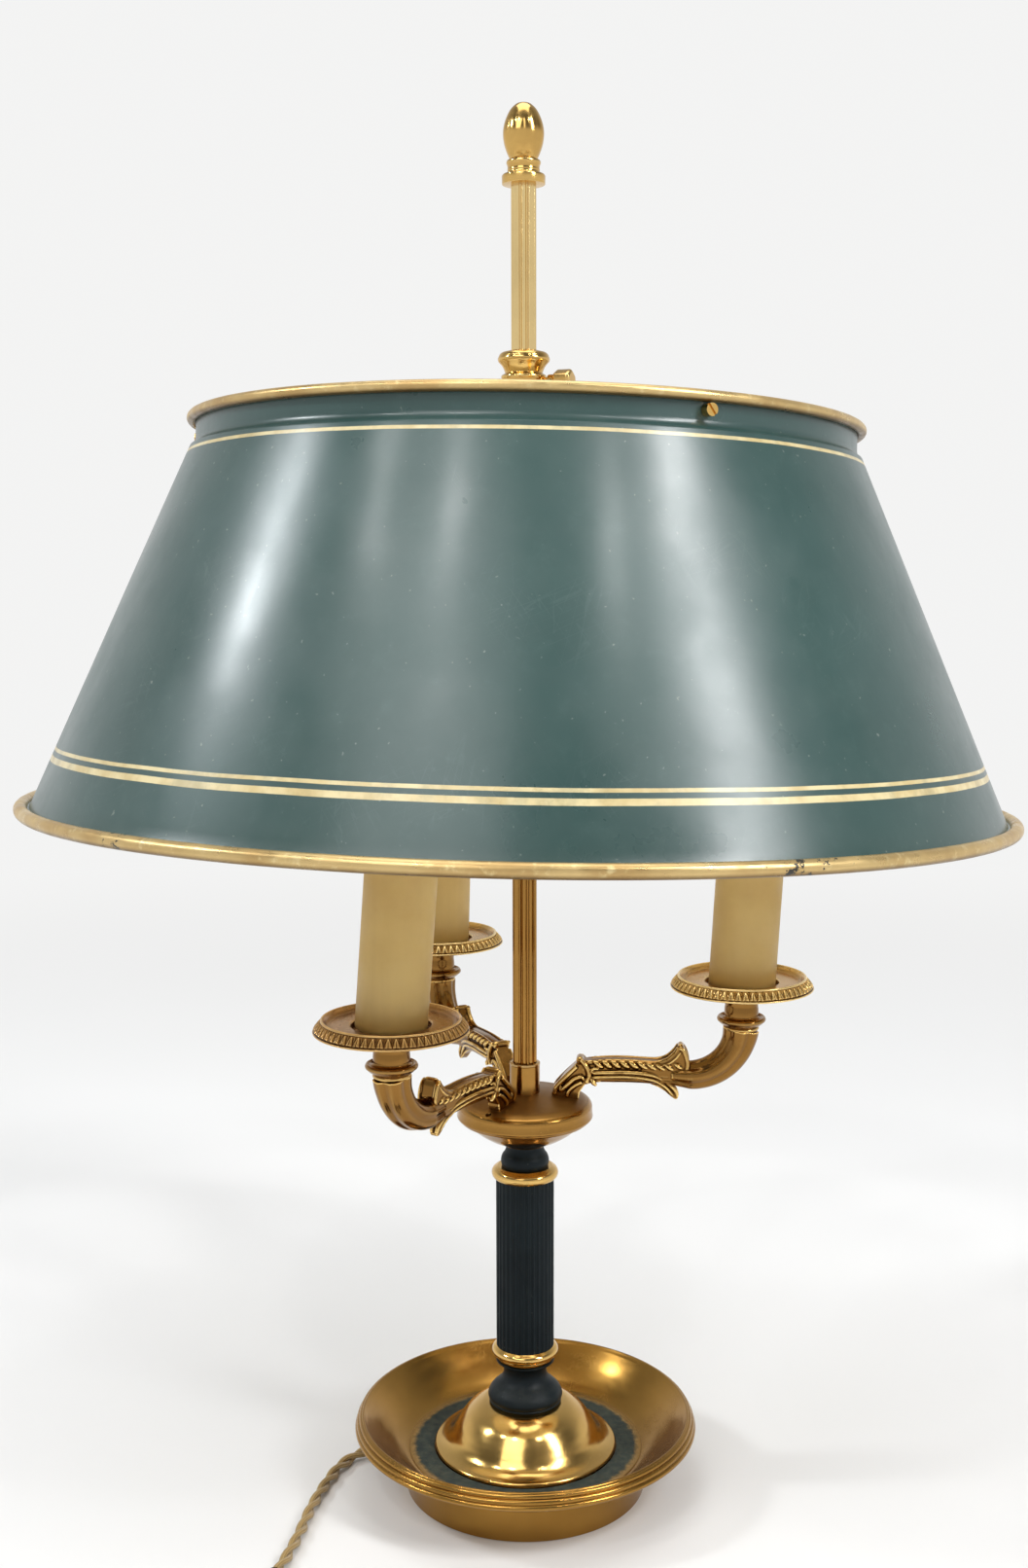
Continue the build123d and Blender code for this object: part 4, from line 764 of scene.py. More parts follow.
hub_plate = turned(
    "hub_plate", "hub_cap", HUB_BRASS, 0.18, 192,
    (BORE, 163.2), (25, 163.2), (25, CAP_FOOT), (26.9, CAP_FOOT), ((27.8, 158), (27.85, 159)), (27.75, 162),
    ((27.3, 163.6), (25.8, 164.7)), ((24.4, 165.3), (22.6, 165.8)), ((14, 167.2), (6.6, 168.2)), (BORE, 168.2),
)


def drilled(target, x, y, low, high, radius, lining):
    """Drills a small hole along Z."""
    mesh = bpy.data.meshes.new("drill")
    work = bmesh.new()
    bmesh.ops.create_cone(
        work, cap_ends=True, segments=28, radius1=radius * MM, radius2=radius * MM, depth=(high - low) * MM,
        matrix=shift(x * MM, y * MM, (low + high) / 2 * MM),
    )
    work.to_mesh(mesh)
    work.free()
    mesh.materials.append(lining)
    cutter = linked("drill", mesh)
    cut = target.modifiers.new("hole", "BOOLEAN")
    cut.operation, cut.object, cut.solver = "DIFFERENCE", cutter, "EXACT"
    made = modified(target)
    target.modifiers.clear()
    target.data = made
    made.set_sharp_from_angle(angle=math.radians(SHARP))
    bpy.data.objects.remove(cutter)


drilled(hub_plate, -14.6, -20.9, 163.4, 168, 1.2, SHADED_PAN_BRASS)

# ---- stem ----
turned(
    "stem_ferrule", "ferrule", WARM_BRASS, 0.2, 96,
    (5, HUB_TOP), (6.3, HUB_TOP), (6.3, 166.6), (6.15, 166.9), (6.15, 179.6), (6.3, 179.9), (6.3, 180.6), (5, 180.9),
)
spun(
    "fluted_stem", shaft(STEM_R, 3, HUB_TOP, STEM_TOP, 40), WARM_BRASS, "stand", "polished_brass", "stem",
    STEM_FLUTES * 22, fluted(STEM_R, STEM_FLUTES, 1, 0.75), sharp=50,
)
turned(
    "stem_cap", "rod_cap", POLISHED, 0.2, 112,
    (1.7, 516.5), (3, 516.5), (3, STEM_TOP), (8.35, STEM_TOP), (8.45, 531.4), ((8.2, 532), (6.9, 532.2)),
    ((6.35, 532.8), (6.3, 533.8)), ((6.2, 534.8), (6.45, 535.9)), ((6.65, 536.8), (6.3, 537.5)), (5.4, 537.7),
    (1.7, 537.7),
)


def gadrooned(radius, height, angle):
    """Soft upright lobes on the acorn, strongest at its waist."""
    waist = np.exp(-(((height - 546) / 6.5) ** 2))
    return radius + 0.28 * waist * (np.abs(np.sin(4 * angle)) - 0.7) * (height > 539.4), height


acorn = outline(
    (0, 529.9), (1.6, 529.9), (1.6, ACORN_SEAT), (5.3, ACORN_SEAT), (5.6, 538.5),
    [(6.6, 540.6), (7.6, 543.6), (8.05, 546.9), (7.75, 550), (6.75, 553.2), (5.1, 556.3), (2.9, 558.4), (0.9, 559)],
    (0, 559.05),
)
spun("acorn_finial", acorn, POLISHED, "finial", "polished_brass", "finial", 128, gadrooned, sharp=60)

# ---- sliding collar ----
turned(
    "sliding_collar", "shade_collar", POLISHED, 0.25, 144,
    (5.05, 431.5), (6, 431.5), (6, 441.6), (9.8, 441.6), (9.8, 443.2), (8.4, 444.2), (8.4, 455),
    ((8.95, 455.8), (8.4, 456.6)), (7.4, 457.2), ((8.2, 459.4), (9.6, 461.2)), ((10.2, 462.3), (9.9, 463.5)),
    ((9, 464.9), (7.4, 465.4)), (5.6, COLLAR_TOP), (5.05, 465.6),
    body="shade_carriage",
)


def knob_form(radius, height, angle):
    """Six flats on the thumbscrew's head."""
    flat = 0.5 * TURN / 6
    hexed = radius * math.cos(flat) / np.cos(angle % (TURN / 6) - flat)
    head = (height > 13) & (radius > 2.4)
    return np.where(head, 0.35 * radius + 0.65 * hexed, radius), height


turned(
    "clamp_knob", "collar_thumbscrew", POLISHED, 0.3, 96,
    (0, 5.3), (1.95, 5.3), (1.95, 10.4), (3, 10.5), (3, 12.8), (4, 13.1), (4.75, 14.2), (4.75, 18.6),
    ((4.3, 19.9), (3, 20.35)), (0, 20.4),
    body="thumbscrew", form=knob_form, sharp=30,
    place=shift(z=KNOB_LEVEL) @ turn_z(-22) @ Matrix.Rotation(math.pi / 2, 4, "Y"),
)

# ---- shade ----
shade_place = (
    shift(1.1, 0.8, SPIDER_LEVEL) @ Matrix.Rotation(math.radians(-2.19), 4, "X")
    @ Matrix.Rotation(math.radians(1.30), 4, "Y") @ shift(z=-155.4)
)
# Old knocks in the sheet: azimuth in radians, level, spread in radians, spread in height, depth
KNOCKS = ((-1.9, 70, 0.16, 26, 0.5), (-0.75, 45, 0.12, 20, 0.4), (2.2, 80, 0.2, 30, 0.6))


def hammered(radius, height, angle):
    """The sheet's slight waves and old knocks."""
    low = 1 - np.clip(height / 150, 0, 1)
    wave = 0.22 * np.sin(2 * angle + 0.6) + 0.16 * np.sin(5 * angle + 2 + 0.01 * height)
    wave = wave + 0.08 * np.sin(9 * angle + 4)
    for at, level, wide, tall, deep in KNOCKS:
        away = (angle - at + math.pi) % TURN - math.pi
        wave = wave - deep * np.exp(-((away / wide) ** 2) - ((height - level) / tall) ** 2)
    return radius + wave * (0.35 + 0.65 * low), height


up_cone = np.linspace(0.03, 1, 34)
outside = [(191.4, 3.2), (188.6, 3.3), (SHADE_R, 3.9)] + straight((SHADE_R, 3.9), (130.1, 139), up_cone)
outside += outline((129.85, 139.5), ((128.4, 140.7), (127.75, 142.8)), (NECK_R, 146), (NECK_R, 150.2))
inside = [(127.1, 150.2), (127.1, 146), (127.15, 142.9), (127.9, 140.6), (129.3, 139)]
inside += straight((129.4, 138.6), (187.5, 3.5), up_cone) + [(188, 2.6), (191.4, 2.6)]
shade_profile = outside + inside
piece(
    "painted_cone", spun_points(shade_profile, SHADE_SIDES, hammered), ring_faces(len(shade_profile), SHADE_SIDES),
    ENAMEL, "shade", "green_enamel", "shade_shell", shade_place, 50,
    {"height": np.repeat([z for _, z in shade_profile], SHADE_SIDES)}, CREAM,
    np.repeat([0] * len(outside) + [1] * len(inside), SHADE_SIDES),
)


def rolled_edge(name, centre, level, radius, node, knocks):
    """Bead round an edge. knocks are the (azimuth, spread) in degrees of its chipped places."""
    ring = [(centre + radius * math.cos(a), level + radius * math.sin(a)) for a in np.arange(20) / 20 * TURN]
    round_it = np.arange(SHADE_SIDES) / SHADE_SIDES * 360
    worn = np.zeros(SHADE_SIDES)
    for azimuth, spread in knocks:
        away = (round_it - azimuth + 180) % 360 - 180
        worn = np.maximum(worn, np.exp(-((away / spread) ** 2)))
    spun(
        name, ring, EDGE_GOLD, "shade", "gold_paint", node, SHADE_SIDES, hammered, place=shade_place,
        marks={"worn": np.tile(worn, len(ring))},
    )


rolled_edge("top_rolled_edge", 129.1, 150.2, 2, "shade_top_bead", [(75, 3)])
rolled_edge("bottom_rolled_edge", 191.7, 2.6, 2.6, "shade_bottom_bead", [(-131, 2.5), (-63, 5), (118, 4), (20, 3)])


# ---- candles ----
def leaf_band(radius, height, angle):
    """A row of upright pointed leaves on the pan's sloping border, with darts between them."""
    up = (height - 214.5) / 3.1
    on_border = (radius > 25.6) & (up > 0) & (up < 1)
    up = np.clip(up, 0, 1)
    across = (angle / TURN * PAN_LEAVES + 0.5) % 1 - 0.5
    half = 0.44 * (1 - up**1.6) + 0.03
    leaf = np.sqrt(np.clip(1 - (across / half) ** 2, 0, 1)) * (1 - up**5)
    rib = 0.35 * np.exp(-((across / 0.05) ** 2)) * (1 - up)
    dart = np.clip(1 - np.abs(np.abs(across) - 0.5) / 0.07, 0, 1) * up
    rise = np.where(on_border, 0.55 * leaf - rib * leaf + 0.35 * dart, 0)
    return radius + 0.76 * rise, height + 0.65 * rise


pan_outline = outline(
    (BORE, PAN_SEAT), (10.9, PAN_SEAT), ((11.6, 212), (12, 212.3)), ((20, 212.5), (27.4, 213.2)),
    (28.5, 213.5), ((28.85, 213.85), (28.55, 214.2)),
    *straight((28.25, 214.45), (25.75, 217.65), np.linspace(0, 1, 20)),
    (25.95, 217.8), ((25.6, 218.45), (25, 218.25)), (24.3, 217.5), ((23.6, 216.6), (22, 216.3)), (15.2, 216.1),
    (14.8, 215.7), (14.8, PAN_FLOOR), (BORE, PAN_FLOOR),
)
cup_outline = outline(
    (BORE, ELBOW_TOP), (6.3, ELBOW_TOP), ((7.15, 196.7), (6.6, 197.6)), ((8, 198.3), (9.2, 199.4)),
    ((9.85, 200.2), (9.6, 201.1)), ((9, 201.5), (8.4, 201.1)), ((7.3, 201.4), (6.95, 202.6)),
    (6.85, 205), ((7.1, 208.6), (8.3, 210.6)), ((9.4, 211.6), (10.5, PAN_SEAT)), (BORE, PAN_SEAT),
)


def uncut(radius, height, angle):
    """A hand-trimmed card tube is never quite round."""
    return radius + 0.08 * np.sin(2 * angle + height * 0.02) * (radius > SLEEVE_R - 0.5), height


# Card tube with a slightly soft foot and a rolled-in top
sleeve_outline = [
    (SLEEVE_R - 1, PAN_FLOOR), (SLEEVE_R - 0.25, PAN_FLOOR),
    *((SLEEVE_R, z) for z in np.linspace(PAN_FLOOR + 0.5, SLEEVE_TOP - 1.2, 20)),
    (SLEEVE_R - 0.1, SLEEVE_TOP - 0.5), (SLEEVE_R - 0.5, SLEEVE_TOP), (SLEEVE_R - 1, SLEEVE_TOP - 0.2),
    *((SLEEVE_R - 1.1, z) for z in np.linspace(SLEEVE_TOP - 1, PAN_FLOOR + 0.3, 8)),
]
SLEEVE_SIDES = 96
THREAD_FOOT, THREAD_TOP, THREAD_PITCH = 272, 289.5, 2.82


def threaded(radius, height, angle):
    """Rolled screw thread round the bulb's cap."""
    wave = 0.28 * np.sin(height / THREAD_PITCH * TURN - angle)
    on_thread = (radius > 6.2) & (height > THREAD_FOOT) & (height < THREAD_TOP)
    return radius + np.where(on_thread, wave - 0.1, 0), height


bulb_shell = flowing([
    (6.4, 291.5), (7.2, 296), (9.6, 300.6), (13.2, 306.6), (16.4, 314.5), (17.4, 323.5), (16.6, 333),
    (14.2, 342.5), (10.8, 351), (7, 358.5), (3.6, 364), (1.4, 366.4),
], 5)
bulb_outline = bulb_shell + [(0.4, 366.95), (0, 367), (0, 366.2)]
bulb_outline += [(max(r - 0.7, 0.15), z - 0.3) for r, z in bulb_shell[::-1]]
bulb_cap = [(0, 269.4), (3.4, 269.4), (6.5, 271.4)] + [(6.5, z) for z in np.linspace(THREAD_FOOT, THREAD_TOP, 72)]
bulb_cap += [(6.9, 290.2), (6.9, 293.6), (6.3, 293.8), (6, 290), (5.9, 273), (0, 271.6)]
bulb_contact = [(0, 267.9), (1.7, 268), (2.1, 268.6), (2.6, 269), (3.4, 269.6), (0, 269.6)]
bulb_seal = flowing([(4.6, 292), (3.6, 297), (2.3, 303), (1.5, 309), (1.2, 312)], 4)
bulb_seal = [(0, 292)] + bulb_seal + [(0, 312.4)]


def filament():
    """A coiled wire between two leads, as points and faces."""
    wires = []
    for side in (-1, 1):
        lead = flowing([(1.1 * side, 0, 304), (1.4 * side, 0, 312), (3 * side, 0, 322), (5.6 * side, 0, 334)], 5)
        wires.append(tube_along(lead, 0.22, 8))
    t = np.linspace(0, 1, 260)
    around = 26 * TURN * t
    coil = [5.6 * (2 * t - 1), 0.45 * np.cos(around), 334 + 3 * np.sin(t * math.pi) + 0.45 * np.sin(around)]
    return joined(wires + [tube_along(np.stack(coil, -1), 0.09, 5)])


# ---- arms ----
def swelling(values, count):
    """Values spread evenly along a path of count points."""
    return np.interp(np.linspace(0, 1, count), np.linspace(0, 1, len(values)), values)


def plate(outline_xz, half):
    """Flat plate of an (out, height) outline in the arm's upright plane, half its thickness to each side."""
    count = len(outline_xz)
    points = np.array([(x, y, z) for y in (-half, half) for x, z in outline_xz])
    ends = [list(range(count))[::-1], list(range(count, 2 * count))]
    return points, ends + [[i, (i + 1) % count, (i + 1) % count + count, i + count] for i in range(count)]


def rail(knots, side, out, radii):
    """Raised line on one side of the arm, through (out, height) knots, standing out from its middle plane."""
    stands = np.interp(np.linspace(0, 1, len(knots)), np.linspace(0, 1, len(out)), out)
    line = np.array(flowing([(x, side * y, z) for (x, z), y in zip(knots, stands)], 7))
    return tube_along(line, swelling(radii, len(line)), 14)


def lobe(x, y, z, along, high, out, lean):
    """Leaning lens-shaped lobe on the arm's side."""
    levels = np.linspace(-0.97, 0.97, 9)
    section = rounded_section(along, high, 20, 3.2)
    section[:, 0] += lean * section[:, 1]
    sections = [section * math.sqrt(1 - level**2) for level in levels]
    return lofted([(x, y + out * level, z) for level in levels], sections, (1, 0, 0))


HEAD = [
    (11, 165.5), (11.2, 168.6), (12.6, 171.6), (16.2, 176), (21.4, 181.4), (23.6, 182.6), (30, 182), (31, 173.4),
    (27.6, 173), (24.8, 172.2), (22.6, 169), (22, 165.5),
]
UPPER_LEAF = [
    (48, 182.4), (54.7, 182.2), (58.2, 183.4), (61.2, 186), (62.4, 188.2), (63.5, 189.4), (64.8, 188.8),
    (65.6, 186.9), (66.7, 183.4), (66.6, 180), (65.4, 177.6), (62, 176.2), (48, 176.6),
]
LOWER_LEAF = [
    (44, 176.4), (51.2, 175.5), (55.4, 173.9), (58.9, 171.8), (61.8, 169.3), (62.9, 167.4), (62.2, 166.4),
    (61.2, 166.6), (59.4, 167.9), (57.5, 169.7), (54.7, 171.4), (51.2, 172.8), (44, 173.4),
]
# Raised lines on both sides: (out, height) knots, how far they stand out, and their radii
RAILS = [
    ([(25.8, 181.6), (33.6, 182.3), (41.3, 182.4), (48.4, 182.1), (54, 182), (58.2, 183.3), (61.2, 186),
      (62.8, 188.4)], (2.7,), (0.8, 0.9, 0.9, 0.95, 1, 0.9)),
    ([(63.4, 188.6), (65, 187), (66.2, 183.4), (66.2, 180.2), (65, 177.8), (63, 176.6)], (3.5,), (0.9, 1, 1, 0.7)),
    ([(54, 180.8), (58.4, 181.9), (61.6, 184.2), (63.6, 186.8)], (3.6,), (0.4, 0.6, 0.6, 0.4)),
    ([(28.4, 177.6), (33.8, 177.9), (40.1, 178.1), (45.6, 177.9), (50.5, 177.3), (54, 176.3), (58.2, 173.7),
      (61.4, 170.3), (62.4, 167.8)],
     (4, 4.1, 4.1, 4, 3.7, 3.1, 2.2, 1.5, 1.1), (0.7, 0.85, 0.85, 0.85, 0.9, 0.9, 0.8)),
    ([(27.6, 175.6), (33.8, 176.1), (40.1, 176.3), (45.6, 176.1), (50.5, 175.3), (54, 174.2), (57.5, 171.7),
      (60.2, 168.6), (61.8, 166.9)],
     (3.7, 3.9, 3.9, 3.8, 3.4, 2.8, 1.9, 1.2, 0.9), (0.6, 0.7, 0.7, 0.7, 0.7, 0.65)),
    ([(30.4, 179.3), (28.4, 179.3), (27.5, 178.4), (28.4, 177.6)], (4,), (0.5, 0.65, 0.65)),
    ([(12.4, 168.4), (13.2, 171.4), (16.9, 175.6), (21.4, 180)], (3.2,), (0.8, 1, 1, 0.9)),
    ([(14.4, 172.4), (15, 170.1), (17.6, 172.2), (20.4, 174.7), (23.2, 175.6), (24.6, 174.4)], (3.2,),
     (0.7, 0.85, 0.85, 0.7)),
    ([(17.4, 167.4), (18.2, 169.6), (20.6, 171.8), (23.5, 173.4)], (3.1,), (0.65, 0.75, 0.7)),
    ([(23, 183), (24.8, 180.9), (26.1, 178.5), (26.4, 175.8), (25.2, 173.4)], (3.7,), (0.8, 1.15, 1.1, 0.8)),
    ([(27.1, 175.4), (28.3, 173.5), (29.5, 172.2)], (3.7,), (0.9, 1.15, 0.5)),
]
LOBE_ROW = [(28, 181), (34.5, 181.2), (41.3, 181.3), (48.4, 181), (54, 180.5), (59, 180.4), (64, 181.2)]
LOBE_PITCH = 3.6


def cast_arm():
    """One arm along +X: beaked root, leaf-clad bar with a row of lobes, two leaf tips and a fluted elbow."""
    knots = [(24, 177.4), (30, 177.8), (40, 178), (50, 177.7), (58, 177.3), (67, 176.8)]
    bar = [(x, 0, z) for x, z in flowing(knots, 20)]
    wide = swelling([2.9, 3.1, 3.2, 3.2, 3.3, 3.7, 4.2], len(bar))
    high = swelling([4.2, 4.8, 5, 4.9, 4.8, 4.8, 4.8], len(bar))
    parts = [lofted(bar, [rounded_section(w, h, 72, 3.2) for w, h in zip(wide, high)])]
    parts += [plate(HEAD, 2.7), plate(UPPER_LEAF, 3.8), plate(LOWER_LEAF, 1.6)]
    for side in (-1, 1):
        parts += [rail(knots, side, out, radii) for knots, out, radii in RAILS]
        for i, x in enumerate(np.arange(30.2, 63, LOBE_PITCH)):
            z = np.interp(x, *np.transpose(LOBE_ROW))
            size = 1 - 0.05 * max(i - 6, 0)
            parts.append(lobe(x, side * 3.3, z, 1.56 * size, 1.65 * size, 1.35, 0.75))
    bend_start, bend_foot = 67, 176.6
    bend = ARM_REACH - bend_start
    curve = [(60 + 7 * t, 0, bend_foot) for t in np.linspace(0, 1, 8)]
    for a in np.linspace(0.05, math.pi / 2, 40):
        curve.append((bend_start + bend * math.sin(a), 0, bend_foot + bend * (1 - math.cos(a))))
    curve = [p for p in curve if p[2] < ELBOW_TOP + 0.1] + [(ARM_REACH, 0, ELBOW_TOP + 0.4)]
    girth = swelling([4.2, 5.8, 6, 6.2, 6.4, 6.7, 7.3], len(curve))

    def flutes(angle):
        return 1.03 - 0.15 * (0.5 + 0.5 * np.cos(5 * angle + 0.6)) ** 2

    parts.append(lofted(curve, [rounded_section(r, r, 120, 2, flutes) for r in girth]))
    for x, z, half, radius in ((22.7, 182.3, 3.9, 1.6), (63.6, 188.7, 3.2, 1.2)):
        t = np.linspace(-1, 1, 15)
        roll = [(x, half * y, z) for y in t]
        parts.append(tube_along(roll, radius * np.sqrt(np.clip(1 - t**6, 0.03, 1)), 20, (0, 0, 1)))
    return cast_together("arm_casting", parts, voxel=0.26, smoothing=2)


arm_points, arm_faces = cast_arm()
sleeve_shares = [(z - PAN_FLOOR) / (SLEEVE_TOP - PAN_FLOOR) for _, z in sleeve_outline]
for name, azimuth in ARM_AZIMUTHS.items():
    swing = turn_z(azimuth)
    piece(
        "scroll_arm_" + name, arm_points, arm_faces, CAST_BRASS, "stand", "antique_brass", "arm_" + name, swing, 180
    )
    over = shift(*(swing @ Vector((ARM_REACH, 0, 0))))
    # The left pan gets the darker copy of the pan brass: painted shade.
    pan_finish = SHADED_PAN_BRASS if name == "left" else GOLDEN_PAN
    for shown, points, finish, node, sides, form in (
        ("candle_socket_", cup_outline, CAST_BRASS, "candle_cup_", 112, None),
        ("leafed_pan_", pan_outline, pan_finish, "drip_pan_", PAN_LEAVES * 14, leaf_band),
    ):
        spun(
            shown + name, eased(points, 0.15), finish, "stand", "antique_brass", node + name, sides, form,
            place=over @ swing,
        )
    lean = math.radians(CANDLE_LEANS[name])
    lift = SLEEVE_R * math.sin(lean) + 0.05
    leaning = over @ shift(z=PAN_FLOOR + lift) @ Matrix.Rotation(lean, 4, "Y") @ shift(z=-PAN_FLOOR)
    spun(
        "card_sleeve_" + name, sleeve_outline, IVORY, "sleeve_" + name, "ivory_card", "candle_sleeve_" + name,
        SLEEVE_SIDES, uncut, place=leaning, marks={"height": np.repeat(sleeve_shares, SLEEVE_SIDES)}, sharp=50,
    )
    bulb = "bulb_" + name
    for shown, points, finish, node, sides, form, sharp in (
        ("bulb_glass_", bulb_outline, GLASS, bulb, 64, None, 80),
        ("bulb_cap_", bulb_cap, CAP_METAL, (), 64, threaded, 60),
        ("bulb_contact_", bulb_contact, CAP_GLASS, (), 40, None, SHARP),
        ("bulb_seal_", bulb_seal, GLASS, (), 32, None, SHARP),
    ):
        spun(shown + name, points, finish, bulb, "bulb_glass", node, sides, form, place=leaning, sharp=sharp)
    piece("bulb_filament_" + name, *filament(), TUNGSTEN, bulb, "bulb_glass", place=leaning, sharp=80)

# ---- cord ----
FLOOR = 2.35
CORD_START = (-42.46, 12.98, 8)
LEAD = [
    CORD_START, (-52.6, 16.08, 8), (-64, 17.6, 4.9), (-73.2, 13.6, FLOOR), (-78.9, 5.2, FLOOR), (-82.1, -5, FLOOR),
    (-85.2, -17.6, FLOOR), (-87.7, -31.6, FLOOR), (-89.3, -46.4, FLOOR), (-91.6, -60.6, FLOOR), (-94.2, -73, FLOOR),
    (-96, -82.6, 3.6), (-96.5, -91.4, 5.2), (-96.5, -99, 5.2),
]
TAIL = [
    (-96.5, -159, 5.2), (-96.5, -166, 5.2), (-93.8, -172.6, 4.2), (-88.7, -177.7, 2.9), (-82.1, -180.4, FLOOR),
    (-70, -180, FLOOR), (-58.6, -175.4, FLOOR),
]
TO_PLUG = [(-26, -172.4, FLOOR), (-14.8, -174.6, FLOOR), (-4.6, -172.6, 4.4), (4.2, -171, 6.8), (12, -171, 6.8)]
COIL_CENTRE = (-45, -143)
# Where each turn of the coil lies: (radius, height)
COIL_TURNS = [
    (26, FLOOR), (21.5, 2.5), (21.4, 7), (21.5, 11.4), (26.1, 11.3), (26, 6.8), (30.4, 11.2), (30.6, 6.8),
    (30.5, FLOOR),
]
COIL_START = -97
PER_TURN = 16


def around_coil(radius, degrees, height, grow=1):
    angle = math.radians(degrees)
    x, y = COIL_CENTRE
    return x + grow * radius * math.cos(angle), y + grow * radius * math.sin(angle), max(height, FLOOR)


def coil_points():
    """Control points of the wound cord, each turn easing into the next."""
    random = np.random.default_rng(7)
    made = []
    for (r, z), (next_r, next_z) in zip(COIL_TURNS, COIL_TURNS[1:] + COIL_TURNS[-1:]):
        for k in range(PER_TURN):
            t = min(max((k / PER_TURN - 0.55) / (0.98 - 0.55), 0), 1)
            moved = t * t * (3 - 2 * t)
            strayed = r + (next_r - r) * moved + random.uniform(-0.12, 0.12)
            made.append(around_coil(strayed, COIL_START + 360 * k / PER_TURN, z + (next_z - z) * moved, 1.02))
    last, _ = COIL_TURNS[-1]
    return made + [around_coil(last, COIL_START, FLOOR), around_coil(last + 0.5, -80, FLOOR)]


def spline_points(points):
    """Points in metres along the smooth line that the control points steer."""
    data = bpy.data.curves.new("cord_line", "CURVE")
    data.dimensions = "3D"
    data.resolution_u = 10
    spline = data.splines.new("NURBS")
    spline.points.add(len(points) - 1)
    for knot, (x, y, z) in zip(spline.points, points):
        knot.co = (x * MM, y * MM, z * MM, 1)
    spline.order_u, spline.use_endpoint_u = 3, True
    line = bpy.data.objects.new("cord_line", data)
    mesh = bpy.data.meshes.new_from_object(line)
    made = read(mesh.vertices, "co").astype(float)
    bpy.data.objects.remove(line)
    bpy.data.meshes.remove(mesh)
    gaps = np.linalg.norm(np.diff(made, axis=0), axis=1)
    return made[np.r_[True, gaps > 1e-6]]


def steady_sides(line):
    """Sideways directions that follow the line without spinning."""
    forward = ways(line)
    side = np.cross(forward[0], (0, 0, 1))
    sides = []
    for way in forward:
        side = side - way * (side @ way)
        side /= np.linalg.norm(side)
        sides.append(side)
    sides = np.array(sides)
    return sides, np.cross(forward, sides)


cord_path = spline_points(LEAD + TAIL + coil_points() + TO_PLUG)
cord_run = np.r_[0, np.cumsum(np.linalg.norm(np.diff(cord_path, axis=0), axis=1))]
STRAND_SIDES = 12
# In metres
STRAND_R = 0.00116
TWIST_PITCH = 0.021
HOUSING_SLEEVE, LAMP_SLEEVE = 0.022, 0.0205


def twisted_pair():
    """Two cloth-covered strands laid round each other: points, faces and marks."""
    side, above = steady_sides(cord_path)
    t = np.arange(STRAND_SIDES) / STRAND_SIDES * TURN
    rows = len(cord_path)
    strands = []
    for strand in (0, 1):
        lay = (cord_run / TWIST_PITCH * TURN + math.pi * strand)[:, None]
        middle = cord_path + STRAND_R * (side * np.cos(lay) + above * np.sin(lay))
        middle[:, 2] = np.maximum(middle[:, 2], STRAND_R * 1.02)
        across, up = (way[:, None] for way in steady_sides(middle))
        skin = middle[:, None] + STRAND_R * (across * np.cos(t)[:, None] + up * np.sin(t)[:, None])
        strands.append((skin.reshape(-1, 3) / MM, capped_faces(rows, STRAND_SIDES)))
    marks = {"along": np.tile(np.repeat(cord_run / MM, STRAND_SIDES), 2), "around": np.tile(t, 2 * rows)}
    return *joined(strands), marks


pair_points, pair_faces, pair_marks = twisted_pair()
cord_piece = piece(
    "twisted_cord", pair_points, pair_faces, CLOTH, "stand", "cord_cloth", ("cord", "cord_coil"), marks=pair_marks,
    sharp=80,
)

# Tie round the coil
TIE_SECTION = ((1, 0.8), (1, -0.8), (0.3, -1), (-1, -0.8), (-1, 0.8), (0.3, 1))
TIE_STEPS = 48
tie_x, tie_y, tie_z = COIL_CENTRE[0] + 26, COIL_CENTRE[1], 6.9
tie_path = np.array([
    (tie_x + x, tie_y + 0.5 * math.sin(i / TIE_STEPS * TURN), max(tie_z + z, 0.4))
    for i, (x, z) in enumerate(rounded_section(8.1, 7.2, TIE_STEPS, 3.4))
])
tie_points = []
for i, middle in enumerate(tie_path):
    before, after = tie_path[i - 1], tie_path[(i + 1) % TIE_STEPS]
    forward = (after - before) / np.linalg.norm(after - before)
    out = np.cross((0, 1, 0), forward)
    out /= np.linalg.norm(out)
    tie_points += [middle + 0.35 * a * out + np.array((0, 1.6 * b, 0)) for a, b in TIE_SECTION]
sides = len(TIE_SECTION)
tie_marks = {"along": np.repeat(np.arange(TIE_STEPS) * 0.9, sides), "around": np.tile(np.arange(sides), TIE_STEPS)}
piece("coil_tie", tie_points, ring_faces(TIE_STEPS, sides), CLOTH, "stand", "cord_cloth", marks=tie_marks)


def run_to(x, y):
    """How far along the cord its point nearest to (x, y) in millimetres lies, in metres."""
    return float(cord_run[np.argmin(np.hypot(cord_path[:, 0] - x * MM, cord_path[:, 1] - y * MM))])


def strain_sleeve(name, wide, thin):
    """Tapered, ribbed sleeve from its wide end, at a housing, to its thin end. Both are metres along the cord."""
    on = (cord_run > min(wide, thin) - 1e-9) & (cord_run < max(wide, thin) + 1e-9)
    line = cord_path[on] / MM
    reach = np.abs(cord_run[on] - wide) / MM
    taper = 3.8 - 0.05 * reach + 0.16 * np.sign(np.sin(reach * 2.1))
    line[:, 2] = np.maximum(line[:, 2], taper + 0.05)
    points, faces = tube_along(line, taper, 28, (0, 0, 1))
    return piece(name, points, faces, SWITCH_BROWN, "stand", "brown_plastic", sharp=50)


